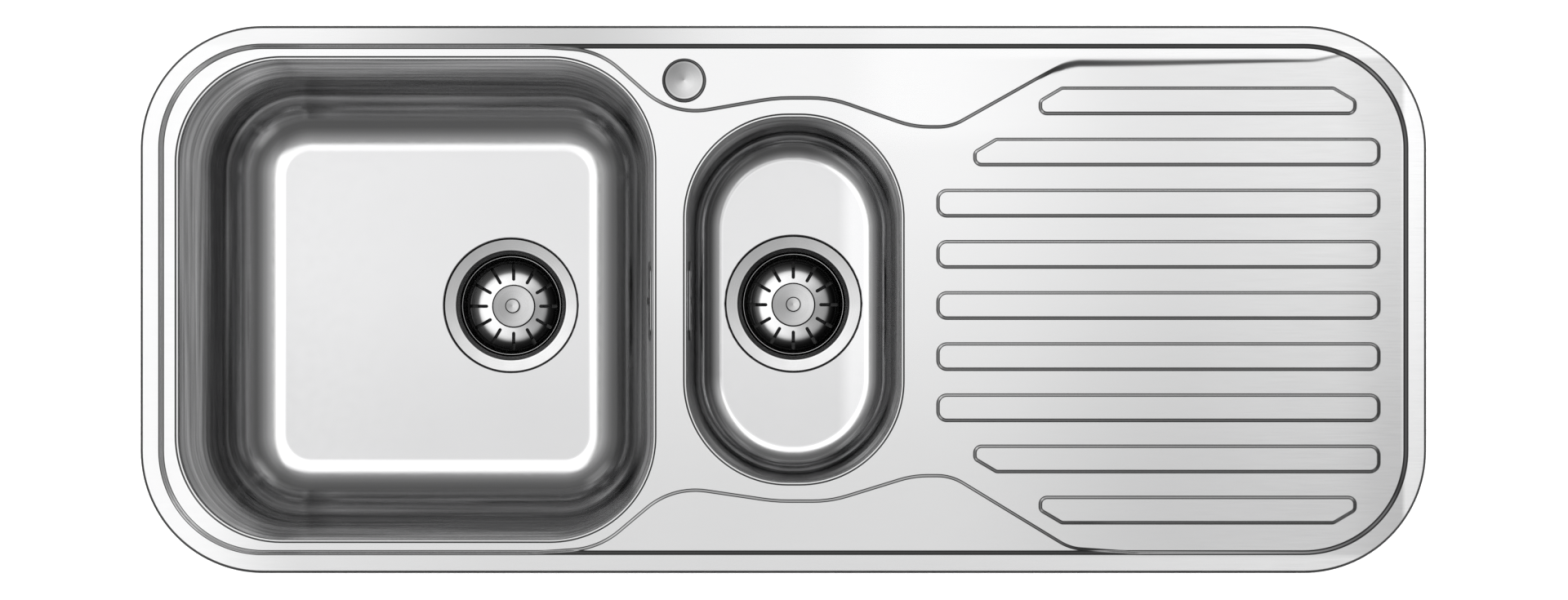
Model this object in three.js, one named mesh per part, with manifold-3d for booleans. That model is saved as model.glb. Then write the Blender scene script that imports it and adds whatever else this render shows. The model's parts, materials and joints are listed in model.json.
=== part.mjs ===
// Inset kitchen sink with one and a half bowls and a ribbed drainboard.
// Millimetres, +Z up, +X towards the drainboard, +Y towards the back, where the tap stands.
// The origin is the centre of the rim's outline, on the plane where the rim rests on the worktop.

import * as THREE from 'three';
import { mergeVertices } from 'three/addons/utils/BufferGeometryUtils.js';
import Module from 'manifold-3d';

// Sheet and fits
const sheet = 0.8;
const fitGap = 0.3;

// Deck pressing: heights are above the worktop, plan sizes are at the outer foot of each wall
const deckLength = 1080;
const deckDepth = 460;
const deckCorner = 103;
const rimHeight = 5.4;
const rimEdgeRadius = 2.4;
const rimBand = 15;
const rimStep = 4.5;
const ledgeHeight = 3.4;
const recessHeight = 1.4;
const pressedWall = 3;
const lipRadius = 3;
const lipDepth = 7;

// Main bowl: its opening is placed from the left and back edges of the deck
const mainFromLeft = 31;
const mainWidth = 399.5;
const mainLength = 404;
const mainCorner = 87;
const mainDepth = 175;
const mainTaper = 0.12;
const mainFillet = 51;
const mainDrainOffset = 65.25;

// Half bowl
const bowlSpacing = 27.9;
const halfWidth = 180.8;
const halfLength = 307.5;
const halfCorner = 85.5;
const halfDepth = 125;
const halfTaper = 0.05;
const halfFillet = 24.4;

// Tap ledge, front island and the shelf behind the drainboard
const ledgeLead = 45;
const ledgeBend = 2.25;
const islandBend = 4.65;
const ledgeWaist = 17.25;
const ledgeNose = 7.15;
const ledgeNoseLength = 31;
const ledgeRun = 100;
const shelfWidth = 7.6;
const shelfEnd = 94;

// Drainboard
const drainerMargin = 10.2;
const drainerFall = 1.8;
const ribPitch = 43;
const ribWidth = 24.3;
const ribRise = 2;
const ribCount = 9;
const ribCentreY = -5;
const ribFromBowl = 29.2;
const ribFromEnd = 38.5;
const ribCorner = 6;
const ribSecondCut = 31;
const ribOuterCut = 86;
const ribBevel = 17;
const ribOuterEndCut = 20;

// Tap hole and its blanking cover
const tapHole = 35;
const tapFromBack = 46;
const tapFromHalfBowl = -1.75;
const tapCoverRadius = 17.4;
const tapCoverHeight = 2.2;
const tapSealRadius = 18.9;
const tapSealThickness = 1;
const tapStemRadius = 3;
const tapStemLength = 38;
const tapBridgeLength = 43;
const tapBridgeWidth = 16;
const tapBridgeThickness = 3;
const tapBridgeFoot = 4;
const tapNutRadius = 8;
const tapNutHeight = 7;

// Strainer wastes, measured down from the bowl floor
const flangeRadius = 59.5;
const flangeDrop = 1.2;
const flangeThickness = 1;
const throatRadius = 49.2;
const cupRadius = 45.8;
const cupDepth = 44;
const cupHoleRadius = 6.5;
const cupHoleCircle = 21;
const cupHoleCount = 6;
const seatDepth = 4;
const gasketThickness = 1.2;
const gasketWidth = 6.5;
const wasteFlange = 3.1;
const wasteWall = 3;
const wasteCone = 17;
const outletRadius = 23.9;
const outletBore = 20;
const outletLength = 28;
const centreScrewRadius = 3;
const centreScrewHead = 5.5;
const portRadius = 12;
const portBore = 9;
const portLength = 13;
const portDrop = 30;

// Baskets
const basketRadius = 43.2;
const basketRimDrop = 7.7;
const basketFloorDrop = 31;
const basketCapRadius = 19.6;
const knobRadius = 6.7;
const knobHeight = 13.5;
const slotCount = 12;
const slotWidth = 2.4;
const slotInner = 23;
const slotOuter = 40;
const stopperRadius = 33.5;

// Overflow between the two bowls
const overflowDrop = 42;
const overflowLength = 60;
const overflowHeight = 12;
const overflowPlateMargin = 4;
const overflowPlateThickness = 1;
const overflowSealThickness = 2;
const overflowHousingMargin = 8;
const overflowWeb = 3;
const overflowScrewRadius = 2;
const overflowPipeRadius = 8.5;
const overflowPipeWall = 1.5;
const overflowPipeBend = 30;
const overflowSpigotRadius = 12;
const overflowSpigotLength = 14;

// Clips that pull the rim down on the worktop
const clipWidth = 11;
const clipPlateLength = 28;
const clipPlateThickness = 1.5;
const clipDrop = 21.5;
const clipScrewRadius = 3;
const clipScrewLength = 44;
const clipHeadRadius = 5;
const clipHeadHeight = 4;
const clipReach = 27;
const clipTip = 6;
const clipJawThickness = 2;

// Rim seal and sound pads
const sealFromEdge = 2.5;
const sealWidth = 6;
const padThickness = 3;
const padMargin = 5;
const mainPadSide = 40;
const halfPadSide = 20;
const drainerPadMargin = 60;
const drainerPadSide = 80;
const padCorner = 12;

// Smoothness of round stretches
const cornerSteps = 7;
const bendAngle = 13;
const filletSteps = 4;
const flangeSides = 24;
const basketSides = 24;
const turnedSides = 16;
const screwSides = 8;

// Places that follow from the sizes
const mainLeft = -deckLength / 2 + mainFromLeft;
const mainX = mainLeft + mainWidth / 2;
const mainRight = mainLeft + mainWidth;
const halfLeft = mainRight + bowlSpacing;
const halfX = halfLeft + halfWidth / 2;
const halfRight = halfLeft + halfWidth;
const mainFloor = recessHeight - mainDepth;
const halfFloor = recessHeight - halfDepth;
const mainDrainX = mainX + mainDrainOffset;
const rimInner = rimBand + rimStep;
const drainerStart = halfRight + drainerMargin;
const drainerEnd = deckLength / 2 - rimInner;
const drainerSlope = drainerFall / (drainerEnd - drainerStart);
const lipBottom = recessHeight - lipDepth;
const buried = 1;
const clear = 20;

const wasm = await Module();
wasm.setup();

// Solids and outlines

function volumeOf(geometry) {
  const place = geometry.attributes.position;
  const corner = [new THREE.Vector3(), new THREE.Vector3(), new THREE.Vector3()];
  let volume = 0;
  for (let i = 0; i < geometry.index.count; i += 3) {
    corner.forEach((point, k) => point.fromBufferAttribute(place, geometry.index.getX(i + k)));
    volume += corner[0].dot(corner[1].clone().cross(corner[2])) / 6;
  }
  return volume;
}

function welded(geometry) {
  const bare = geometry.clone();
  bare.deleteAttribute('normal');
  bare.deleteAttribute('uv');
  const merged = mergeVertices(bare, 1e-4);
  const source = merged.index.array;
  const kept = [];
  for (let i = 0; i < source.length; i += 3) {
    const [a, b, c] = source.slice(i, i + 3);
    if (a !== b && b !== c && c !== a) {
      kept.push(a, b, c);
    }
  }
  merged.setIndex(kept);
  if (volumeOf(merged) < 0) {
    merged.setIndex(kept.reverse());
  }
  return merged;
}

function solid(geometry) {
  const merged = welded(geometry);
  return new wasm.Manifold(new wasm.Mesh({
    numProp: 3,
    vertProperties: new Float32Array(merged.attributes.position.array),
    triVerts: new Uint32Array(merged.index.array),
  }));
}

function geometryOf(body) {
  const mesh = body.getMesh();
  const geometry = new THREE.BufferGeometry();
  geometry.setAttribute('position', new THREE.BufferAttribute(mesh.vertProperties, 3));
  geometry.setIndex(new THREE.BufferAttribute(mesh.triVerts, 1));
  geometry.computeVertexNormals();
  return geometry;
}

// A closed outline from corners [x, y, radius], with every round stretch as an arc that ends
// halfway along the sides it joins at the latest
function outline(corners, steps = 0) {
  const points = [];
  corners.forEach(([x, y, radius], i) => {
    const here = new THREE.Vector2(x, y);
    const before = corners[(i + corners.length - 1) % corners.length];
    const after = corners[(i + 1) % corners.length];
    const back = new THREE.Vector2(before[0], before[1]).sub(here);
    const ahead = new THREE.Vector2(after[0], after[1]).sub(here);
    const room = Math.min(back.length(), ahead.length()) / 2;
    back.normalize();
    ahead.normalize();
    if (radius === 0) {
      points.push(here);
      return;
    }
    const half = Math.acos(THREE.MathUtils.clamp(back.dot(ahead), -1, 1)) / 2;
    const turn = Math.PI - 2 * half;
    const run = Math.min(radius / Math.tan(half), room);
    const fillet = run * Math.tan(half);
    const count = steps || Math.max(2, Math.ceil(THREE.MathUtils.radToDeg(turn) / bendAngle));
    const inward = back.clone().add(ahead).normalize();
    const centre = here.clone().addScaledVector(inward, fillet / Math.sin(half));
    const first = here.clone().addScaledVector(back, run).sub(centre);
    const side = Math.sign(ahead.cross(back));
    for (let k = 0; k <= count; k += 1) {
      points.push(first.clone().rotateAround(new THREE.Vector2(), side * turn * k / count).add(centre));
    }
  });
  return points;
}

function rectangle(x0, y0, x1, y1, radius, steps = cornerSteps) {
  return outline([[x0, y0, radius], [x1, y0, radius], [x1, y1, radius], [x0, y1, radius]], steps);
}

// The same outline moved outwards by a distance (a counter-clockwise outline grows)
function grown(points, distance) {
  return points.map((point, i) => {
    const before = points[(i + points.length - 1) % points.length];
    const after = points[(i + 1) % points.length];
    const into = point.clone().sub(before).normalize();
    const away = after.clone().sub(point).normalize();
    const first = new THREE.Vector2(into.y, -into.x);
    const second = new THREE.Vector2(away.y, -away.x);
    return point.clone().addScaledVector(first.clone().add(second), distance / (1 + first.dot(second)));
  });
}

function ring(points, z) {
  return points.map((point) => new THREE.Vector3(point.x, point.y, z));
}

// A skin through rings of equal point counts: capped at both ends, or closed on itself
function loft(rings, closed = false) {
  const count = rings[0].length;
  const index = [];
  for (let r = 0; r < (closed ? rings.length : rings.length - 1); r += 1) {
    const low = r * count;
    const high = ((r + 1) % rings.length) * count;
    for (let i = 0; i < count; i += 1) {
      const next = (i + 1) % count;
      index.push(low + i, low + next, high + next, low + i, high + next, high + i);
    }
  }
  if (!closed) {
    const top = (rings.length - 1) * count;
    THREE.ShapeUtils.triangulateShape(rings[0], []).forEach(([a, b, c]) => index.push(c, b, a));
    THREE.ShapeUtils.triangulateShape(rings.at(-1), []).forEach(([a, b, c]) => {
      index.push(top + a, top + b, top + c);
    });
  }
  const geometry = new THREE.BufferGeometry();
  geometry.setAttribute('position', new THREE.Float32BufferAttribute(
    rings.flat().flatMap((point) => [point.x, point.y, point.z]), 3));
  geometry.setIndex(index);
  return geometry;
}

// A body turned about Z from a profile [radius, z]
function turned(profile, sides) {
  const onAxis = profile[0][0] === 0;
  const path = onAxis ? profile : [...profile, profile[0]];
  const geometry = new THREE.LatheGeometry(path.map(([r, z]) => new THREE.Vector2(r, z)), sides);
  geometry.rotateX(Math.PI / 2);
  return geometry;
}

function cylinder(radius, z0, z1, sides) {
  return turned([[0, z0], [radius, z0], [radius, z1], [0, z1]], sides);
}

function box(x0, y0, z0, x1, y1, z1) {
  const geometry = new THREE.BoxGeometry(x1 - x0, y1 - y0, z1 - z0);
  geometry.translate((x0 + x1) / 2, (y0 + y1) / 2, (z0 + z1) / 2);
  return geometry;
}

function plate(points, z0, z1) {
  const shape = new THREE.Shape(points);
  const geometry = new THREE.ExtrudeGeometry(shape, { depth: z1 - z0, bevelEnabled: false });
  geometry.translate(0, 0, z0);
  return geometry;
}

// An outline in [y, z] drawn out along X from x0 to x1
function alongX(points, x0, x1) {
  const shape = new THREE.Shape(points.map(([y, z]) => new THREE.Vector2(y, z)));
  const geometry = new THREE.ExtrudeGeometry(shape, { depth: x1 - x0, bevelEnabled: false });
  geometry.applyMatrix4(new THREE.Matrix4().makeBasis(
    new THREE.Vector3(0, 1, 0), new THREE.Vector3(0, 0, 1), new THREE.Vector3(1, 0, 0)));
  geometry.translate(x0, 0, 0);
  return geometry;
}

// Deck pressing

function deckRing(inset, z) {
  const x = deckLength / 2 - inset;
  const y = deckDepth / 2 - inset;
  return ring(rectangle(-x, -y, x, y, deckCorner - inset), z);
}

// The drainboard floor falls towards the bowls, and so does all that is pressed in it
function tilted(geometry) {
  return geometry.applyMatrix4(new THREE.Matrix4().set(
    1, 0, 0, 0,
    0, 1, 0, 0,
    drainerSlope, 0, 1, -drainerSlope * drainerStart,
    0, 0, 0, 1));
}

function drainerLevel(x) {
  return recessHeight + drainerSlope * (x - drainerStart);
}

// A raised field with sloping walls, standing on the recess floor
function raised(top, height) {
  const spread = pressedWall * (1 + buried / height);
  return loft([ring(grown(top, spread), recessHeight - buried), ring(top, recessHeight + height)]);
}

function ledgeOutline(side) {
  const rimLine = deckDepth / 2 - rimInner;
  const deep = deckDepth / 2 - rimBand / 2;
  const waist = halfLength / 2 + ledgeWaist;
  const nose = halfLength / 2 - ledgeNose + (side < 0 ? pressedWall : 0);
  const noseStart = halfRight + drainerMargin;
  const noseEnd = noseStart + ledgeNoseLength;
  const far = noseEnd + ledgeRun;
  const tail = side > 0
    ? [[far, rimLine - shelfWidth, 40], [deckLength / 2 - shelfEnd, rimLine - shelfWidth, 60],
      [deckLength / 2 - shelfEnd + 2 * ledgeLead, deep, 0]]
    : [[far, rimLine, 40], [far + ledgeLead, rimLine + pressedWall, 0], [far + 2 * ledgeLead, deep, 0]];
  const corners = [
    [mainRight - 3 * ledgeLead, deep, 0],
    [mainRight - 2 * ledgeLead, rimLine + pressedWall, 0],
    [mainRight - ledgeLead, rimLine, 80],
    [(mainRight + halfLeft) / 2 + pressedWall, halfLength / 2 + (side > 0 ? ledgeBend : islandBend), 62],
    [halfX - ledgeNoseLength / 2, waist, 150],
    [halfX + ledgeNoseLength, waist, 100],
    [noseStart, nose, 80],
    [noseEnd, nose, 40],
    ...tail,
  ];
  const placed = corners.map(([x, y, radius]) => [x, side * y, radius]);
  return outline(side > 0 ? placed : placed.reverse());
}

function ribOutline(row) {
  const fromCentre = row - (ribCount - 1) / 2;
  const y = ribCentreY - ribPitch * fromCentre;
  const half = ribWidth / 2 - pressedWall;
  const isOuter = row === 0 || row === ribCount - 1;
  const isSecond = row === 1 || row === ribCount - 2;
  const startCut = isOuter ? ribOuterCut : (isSecond ? ribSecondCut : 0);
  const start = halfRight + ribFromBowl + pressedWall + startCut;
  const end = deckLength / 2 - ribFromEnd - pressedWall - (isOuter ? ribOuterEndCut : 0);
  const far = fromCentre < 0 ? half : -half;
  const round = Math.min(ribCorner, half * 0.8);
  const corners = [[start, y - far, round], [end, y - far, round]];
  if (isOuter) {
    corners.push([end, y - far * 0.1, round / 2], [end - ribBevel, y + far, round / 2]);
  } else {
    corners.push([end, y + far, round]);
  }
  if (isOuter || isSecond) {
    corners.push([start + ribBevel, y + far, round / 2], [start, y - far * 0.1, round / 2]);
  } else {
    corners.push([start, y + far, round]);
  }
  return outline(far > 0 ? corners : corners.reverse(), 2);
}

// The upper skin of the pressing as a solid: rim, recess, ledges, falling floor and ribs
function deckForm(inset, bottom) {
  const edge = [0, 45, 90].map((degrees) => {
    const angle = THREE.MathUtils.degToRad(degrees);
    return deckRing(
      inset + rimEdgeRadius * (1 - Math.cos(angle)),
      rimHeight - rimEdgeRadius * (1 - Math.sin(angle)));
  });
  const block = solid(loft([deckRing(inset, bottom), ...edge]));
  const flare = rimStep / (rimHeight - recessHeight);
  const pocket = solid(loft([
    deckRing(rimInner, recessHeight),
    deckRing(rimBand - flare, rimHeight + buried),
  ]));
  const wedgeProfile = [
    new THREE.Vector2(drainerStart, recessHeight - buried),
    new THREE.Vector2(deckLength / 2, recessHeight - buried),
    new THREE.Vector2(deckLength / 2, drainerLevel(deckLength / 2)),
    new THREE.Vector2(drainerStart, recessHeight),
  ];
  const wedge = plate(wedgeProfile, -deckDepth / 2, deckDepth / 2).rotateX(Math.PI / 2);
  let form = block.subtract(pocket).add(solid(wedge).intersect(block));
  for (const side of [1, -1]) {
    form = form.add(solid(raised(ledgeOutline(side), ledgeHeight - recessHeight)).intersect(block));
  }
  for (let row = 0; row < ribCount; row += 1) {
    form = form.add(solid(tilted(raised(ribOutline(row), ribRise))));
  }
  return form;
}

function mainOpening(out) {
  const y = mainLength / 2 + out;
  return rectangle(mainLeft - out, -y, mainRight + out, y, mainCorner + out);
}

function halfOpening(out) {
  const y = halfLength / 2 + out;
  return rectangle(halfLeft - out, -y, halfRight + out, y, halfCorner + out);
}

// The rolled lip round a bowl opening: a quarter round, then a short straight flange
function lip(opening) {
  const centre = recessHeight - lipRadius;
  const arc = [90, 45, 0].map((degrees) => THREE.MathUtils.degToRad(degrees));
  const inner = arc.map((angle) => ring(
    opening(lipRadius * (1 - Math.cos(angle))), centre + lipRadius * Math.sin(angle)));
  const outerRadius = lipRadius - sheet;
  const outer = arc.map((angle) => ring(
    opening(lipRadius - outerRadius * Math.cos(angle)), centre + outerRadius * Math.sin(angle)));
  return solid(loft([
    ring(opening(lipRadius + buried), recessHeight),
    ...inner,
    ring(opening(0), lipBottom),
    ring(opening(sheet), lipBottom),
    ...outer.reverse(),
    ring(opening(lipRadius + buried), recessHeight - sheet),
  ], true));
}

const tapX = halfLeft + tapFromHalfBowl;
const tapY = deckDepth / 2 - tapFromBack;

function deckBody() {
  const lower = solid(geometryOf(deckForm(sheet, -clear)).translate(0, 0, -sheet));
  let body = deckForm(0, 0).subtract(lower);
  for (const opening of [mainOpening, halfOpening]) {
    const hole = loft([ring(opening(lipRadius), -clear), ring(opening(lipRadius), clear)]);
    body = body.subtract(solid(hole)).add(lip(opening));
  }
  const tapCut = cylinder(tapHole / 2, -clear, clear, flangeSides).translate(tapX, tapY, 0);
  return body.subtract(solid(tapCut));
}

// Bowls: a straight collar outside the deck's lip, a joggle, a tapering wall, a fillet and a floor

function wallInset(taper, z) {
  return taper * (lipBottom - 2 - z);
}

function bowlRings(opening, floor, taper, fillet, skin) {
  const collar = sheet + fitGap + skin;
  const tilt = Math.atan(taper);
  const wall = wallInset(taper, floor + fillet) + fillet * (1 / Math.cos(tilt) - 1);
  const rings = [
    ring(opening(collar), recessHeight - lipRadius - fitGap),
    ring(opening(collar), lipBottom - fitGap - skin * Math.tan(tilt)),
    ring(opening(skin), lipBottom - 2),
  ];
  for (let k = 0; k <= filletSteps; k += 1) {
    const angle = tilt + (Math.PI / 2 - tilt) * k / filletSteps;
    const reach = fillet + skin;
    rings.push(ring(
      opening(-(wall + fillet) + reach * Math.cos(angle)),
      floor + fillet - reach * Math.sin(angle)));
  }
  return rings;
}

function bowlBody(opening, floor, taper, fillet, drainX) {
  const outer = solid(loft(bowlRings(opening, floor, taper, fillet, sheet)));
  const innerRings = bowlRings(opening, floor, taper, fillet, 0);
  const above = ring(opening(sheet + fitGap), clear);
  const inner = solid(loft([above, ...innerRings]));
  const seatRadius = flangeRadius + 2 * fitGap;
  const boss = cylinder(seatRadius + sheet, floor - seatDepth - sheet, floor - sheet / 2, flangeSides);
  const seat = cylinder(seatRadius, floor - seatDepth, floor + buried, flangeSides);
  const hole = cylinder(cupRadius + sheet + 4 * fitGap, floor - clear, floor + clear, flangeSides);
  let body = outer.subtract(inner).add(solid(boss.translate(drainX, 0, 0)));
  body = body.subtract(solid(seat.translate(drainX, 0, 0)));
  return body.subtract(solid(hole.translate(drainX, 0, 0)));
}

// The overflow stands square to each sloping bowl wall: local x points into the bowl

function wallFrame(wallX, taper, side) {
  const tilt = Math.atan(taper);
  const z = recessHeight - overflowDrop;
  const x = wallX + side * wallInset(taper, z);
  const across = new THREE.Vector3(side * Math.cos(tilt), 0, Math.sin(tilt));
  const up = new THREE.Vector3(-side * Math.sin(tilt), 0, Math.cos(tilt));
  return new THREE.Matrix4()
    .makeBasis(across, up.clone().cross(across), up)
    .setPosition(x, 0, z);
}

const mainWallFrame = wallFrame(mainRight, mainTaper, -1);
const halfWallFrame = wallFrame(halfLeft, halfTaper, 1);

function oblong(length, height) {
  const round = height / 2;
  return outline([
    [-length / 2, -round, round], [length / 2, -round, round],
    [length / 2, round, round], [-length / 2, round, round],
  ], 2).filter((point, i, all) => point.distanceTo(all[(i + 1) % all.length]) > 1e-6);
}

function oblongBar(length, height, x0, x1) {
  return alongX(oblong(length, height).map((point) => [point.x, point.y]), x0, x1);
}

function rod(radius, x0, x1, sides = screwSides) {
  return cylinder(radius, x0, x1, sides).rotateY(Math.PI / 2);
}

function overflowCut(frame) {
  return solid(oblongBar(overflowLength, overflowHeight, -clear / 2, clear / 2).applyMatrix4(frame));
}

function overflowSeal() {
  const margin = 2 * overflowPlateMargin;
  const back = -sheet - fitGap - overflowSealThickness;
  const front = -sheet - fitGap;
  const body = solid(oblongBar(overflowLength + margin, overflowHeight + margin, back, front));
  const hole = solid(oblongBar(overflowLength, overflowHeight, back - buried, front + buried));
  return body.subtract(hole);
}

function overflowPlate() {
  const margin = 2 * overflowPlateMargin;
  const front = fitGap + overflowPlateThickness;
  let body = solid(oblongBar(overflowLength + margin, overflowHeight + margin, fitGap, front));
  const spacing = overflowLength / 4;
  for (const step of [-1.5, -0.5, 0.5, 1.5]) {
    const slot = oblongBar(spacing * 0.7, overflowHeight * 0.45, -buried, clear);
    body = body.subtract(solid(slot.translate(0, spacing * step, 0)));
  }
  return body.subtract(solid(rod(overflowScrewRadius + fitGap, -buried, clear)));
}

function overflowScrew(reach) {
  const head = 2 * fitGap + overflowPlateThickness;
  return turned([
    [0, head + 1.5], [overflowScrewRadius * 1.2, head + 1.5], [overflowScrewRadius * 2, head + 0.6],
    [overflowScrewRadius * 2, head], [overflowScrewRadius, head], [overflowScrewRadius, -reach], [0, -reach],
  ], screwSides).rotateY(Math.PI / 2);
}

const overflowX = (mainRight + halfLeft) / 2 + (halfTaper - mainTaper) * overflowDrop / 2;
const overflowZ = recessHeight - overflowDrop;
const housingHalfHeight = overflowHeight / 2 + overflowHousingMargin;
const spigotBottom = overflowZ - housingHalfHeight - overflowSpigotLength;

function overflowHousing() {
  const setBack = sheet + 2 * fitGap + overflowSealThickness;
  const mainFace = (z) => mainRight - wallInset(mainTaper, z) + setBack / Math.cos(Math.atan(mainTaper));
  const halfFace = (z) => halfLeft + wallInset(halfTaper, z) - setBack / Math.cos(Math.atan(halfTaper));
  const top = overflowZ + housingHalfHeight;
  const bottom = overflowZ - housingHalfHeight;
  const length = overflowLength + 2 * overflowHousingMargin;
  const section = [
    new THREE.Vector2(mainFace(bottom), bottom), new THREE.Vector2(halfFace(bottom), bottom),
    new THREE.Vector2(halfFace(top), top), new THREE.Vector2(mainFace(top), top),
  ];
  let body = solid(plate(section, -length / 2, length / 2).rotateX(Math.PI / 2));
  const spigot = cylinder(overflowSpigotRadius, spigotBottom, overflowZ - overflowHeight / 2, basketSides);
  body = body.add(solid(spigot.translate(overflowX, 0, 0)));
  const mainPocket = oblongBar(overflowLength, overflowHeight, -clear * 2, -overflowWeb / 2);
  const halfPocket = oblongBar(overflowLength, overflowHeight, overflowWeb / 2, clear * 2);
  for (const pocket of [mainPocket, halfPocket]) {
    body = body.subtract(solid(pocket.translate(overflowX, 0, overflowZ)));
  }
  const bore = cylinder(overflowPipeRadius + fitGap, spigotBottom - buried, overflowZ - 2, basketSides);
  body = body.subtract(solid(bore.translate(overflowX, 0, 0)));
  for (const frame of [mainWallFrame, halfWallFrame]) {
    body = body.subtract(solid(rod(overflowScrewRadius + fitGap, -clear, 0).applyMatrix4(frame)));
  }
  return body;
}

const portZ = mainFloor - portDrop;
const wasteOuter = throatRadius + wasteWall;
const portEnd = mainDrainX + wasteOuter + portLength;

function circle(radius, sides) {
  return Array.from({ length: sides }, (_, i) => {
    const angle = 2 * Math.PI * i / sides;
    return new THREE.Vector2(radius * Math.cos(angle), radius * Math.sin(angle));
  });
}

function overflowPipe() {
  const insert = 8;
  const bend = overflowPipeBend;
  const path = new THREE.CurvePath();
  const start = new THREE.Vector3(overflowX, 0, spigotBottom + insert);
  const bendTop = new THREE.Vector3(overflowX, 0, portZ + bend);
  const elbow = new THREE.Vector3(overflowX, 0, portZ);
  const bendEnd = new THREE.Vector3(overflowX - bend, 0, portZ);
  const finish = new THREE.Vector3(portEnd - insert, 0, portZ);
  path.add(new THREE.LineCurve3(start, bendTop));
  path.add(new THREE.QuadraticBezierCurve3(bendTop, elbow, bendEnd));
  path.add(new THREE.LineCurve3(bendEnd, finish));
  const section = new THREE.Shape(circle(overflowPipeRadius, screwSides));
  section.holes.push(new THREE.Path(circle(overflowPipeRadius - overflowPipeWall, screwSides)));
  return new THREE.ExtrudeGeometry(section, { steps: 18, extrudePath: path, bevelEnabled: false });
}

function overflowPipeNut() {
  const inner = portRadius + fitGap;
  const outer = portRadius + 3.5;
  const lipInner = overflowPipeRadius + fitGap;
  const shape = [
    [inner, -portLength + 2], [outer, -portLength + 2], [outer, 3.5], [lipInner, 3.5],
    [lipInner, fitGap], [inner, fitGap],
  ];
  return turned(shape, basketSides).rotateY(Math.PI / 2).translate(portEnd, 0, portZ);
}

// Strainer waste, with z = 0 at the bowl floor

function strainerCup() {
  const top = -flangeDrop;
  const under = top - flangeThickness;
  const round = throatRadius - cupRadius;
  let body = solid(turned([
    [0, -cupDepth], [cupRadius - 2, -cupDepth], [cupRadius, -cupDepth + 2],
    [cupRadius, top - round], [cupRadius + round * 0.3, top - round * 0.35], [throatRadius, top],
    [flangeRadius - 0.5, top], [flangeRadius, top - 0.4], [flangeRadius, under],
    [throatRadius, under], [cupRadius + sheet, under - round * 0.6],
    [cupRadius + sheet, -cupDepth + 1.5], [cupRadius - 1.5, -cupDepth - sheet], [0, -cupDepth - sheet],
  ], flangeSides));
  for (let k = 0; k < cupHoleCount; k += 1) {
    const hole = cylinder(cupHoleRadius, -cupDepth - clear, -cupDepth + buried, screwSides);
    const angle = 2 * Math.PI * k / cupHoleCount;
    hole.translate(cupHoleCircle * Math.cos(angle), cupHoleCircle * Math.sin(angle), 0);
    body = body.subtract(solid(hole));
  }
  const centre = cylinder(centreScrewRadius + fitGap, -cupDepth - clear, -cupDepth + buried, screwSides);
  return body.subtract(solid(centre));
}

function squareRing(inner, outer, low, high, sides) {
  return turned([[inner, low], [outer, low], [outer, high], [inner, high]], sides);
}

const gasketOuter = flangeRadius - 2;
const flangeSealTop = -flangeDrop - flangeThickness - fitGap;
const bodySealTop = -seatDepth - sheet - fitGap;
const wasteTop = bodySealTop - gasketThickness - fitGap;
const cupUnderside = -cupDepth - sheet;

function flangeSeal() {
  return squareRing(gasketOuter - gasketWidth, gasketOuter, flangeSealTop - gasketThickness, flangeSealTop,
    turnedSides);
}

function bodySeal() {
  return squareRing(gasketOuter - gasketWidth, gasketOuter, bodySealTop - gasketThickness, bodySealTop,
    turnedSides);
}

function wasteBody(hasPort) {
  const bore = throatRadius;
  const shoulder = cupUnderside - 3;
  const neck = shoulder - wasteCone;
  const foot = neck - outletLength;
  const hull = solid(turned([
    [0, wasteTop], [flangeRadius - 1, wasteTop], [flangeRadius - 1, wasteTop - wasteFlange],
    [wasteOuter, wasteTop - wasteFlange - 1], [wasteOuter, shoulder], [outletRadius, neck],
    [outletRadius, foot], [0, foot],
  ], basketSides));
  const passage = solid(turned([
    [0, wasteTop + buried], [bore, wasteTop + buried], [bore, shoulder + wasteWall / 2],
    [outletBore, neck + wasteWall / 2], [outletBore, foot - buried], [0, foot - buried],
  ], basketSides));
  const webTop = shoulder - 2;
  const web = solid(box(-bore, -1.5, webTop - 6, bore, 1.5, webTop));
  const boss = solid(cylinder(centreScrewRadius * 2, webTop - 8, cupUnderside - fitGap, screwSides));
  const screwHole = solid(cylinder(centreScrewRadius + fitGap, webTop - clear, clear, screwSides));
  let body = hull.subtract(passage).add(web.add(boss).intersect(hull)).subtract(screwHole);
  if (hasPort) {
    const port = rod(portRadius, bore + buried, wasteOuter + portLength, basketSides);
    const portHole = rod(portBore, cupRadius, wasteOuter + portLength + buried, basketSides);
    body = body.add(solid(port.translate(0, 0, -portDrop)));
    body = body.subtract(solid(portHole.translate(0, 0, -portDrop)));
  }
  return body;
}

function centreScrew() {
  const headLow = -cupDepth + fitGap;
  const end = cupUnderside - 13;
  return turned([
    [0, headLow + 2.5], [centreScrewHead * 0.7, headLow + 2.5], [centreScrewHead, headLow + 1.5],
    [centreScrewHead, headLow], [centreScrewRadius, headLow], [centreScrewRadius, end], [0, end],
  ], screwSides);
}

const basketFloor = -basketFloorDrop;
const stopperTop = basketFloor - sheet - fitGap;
const stopperMiddle = -cupDepth + 5.5;
const stemHole = centreScrewRadius + fitGap;

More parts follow.
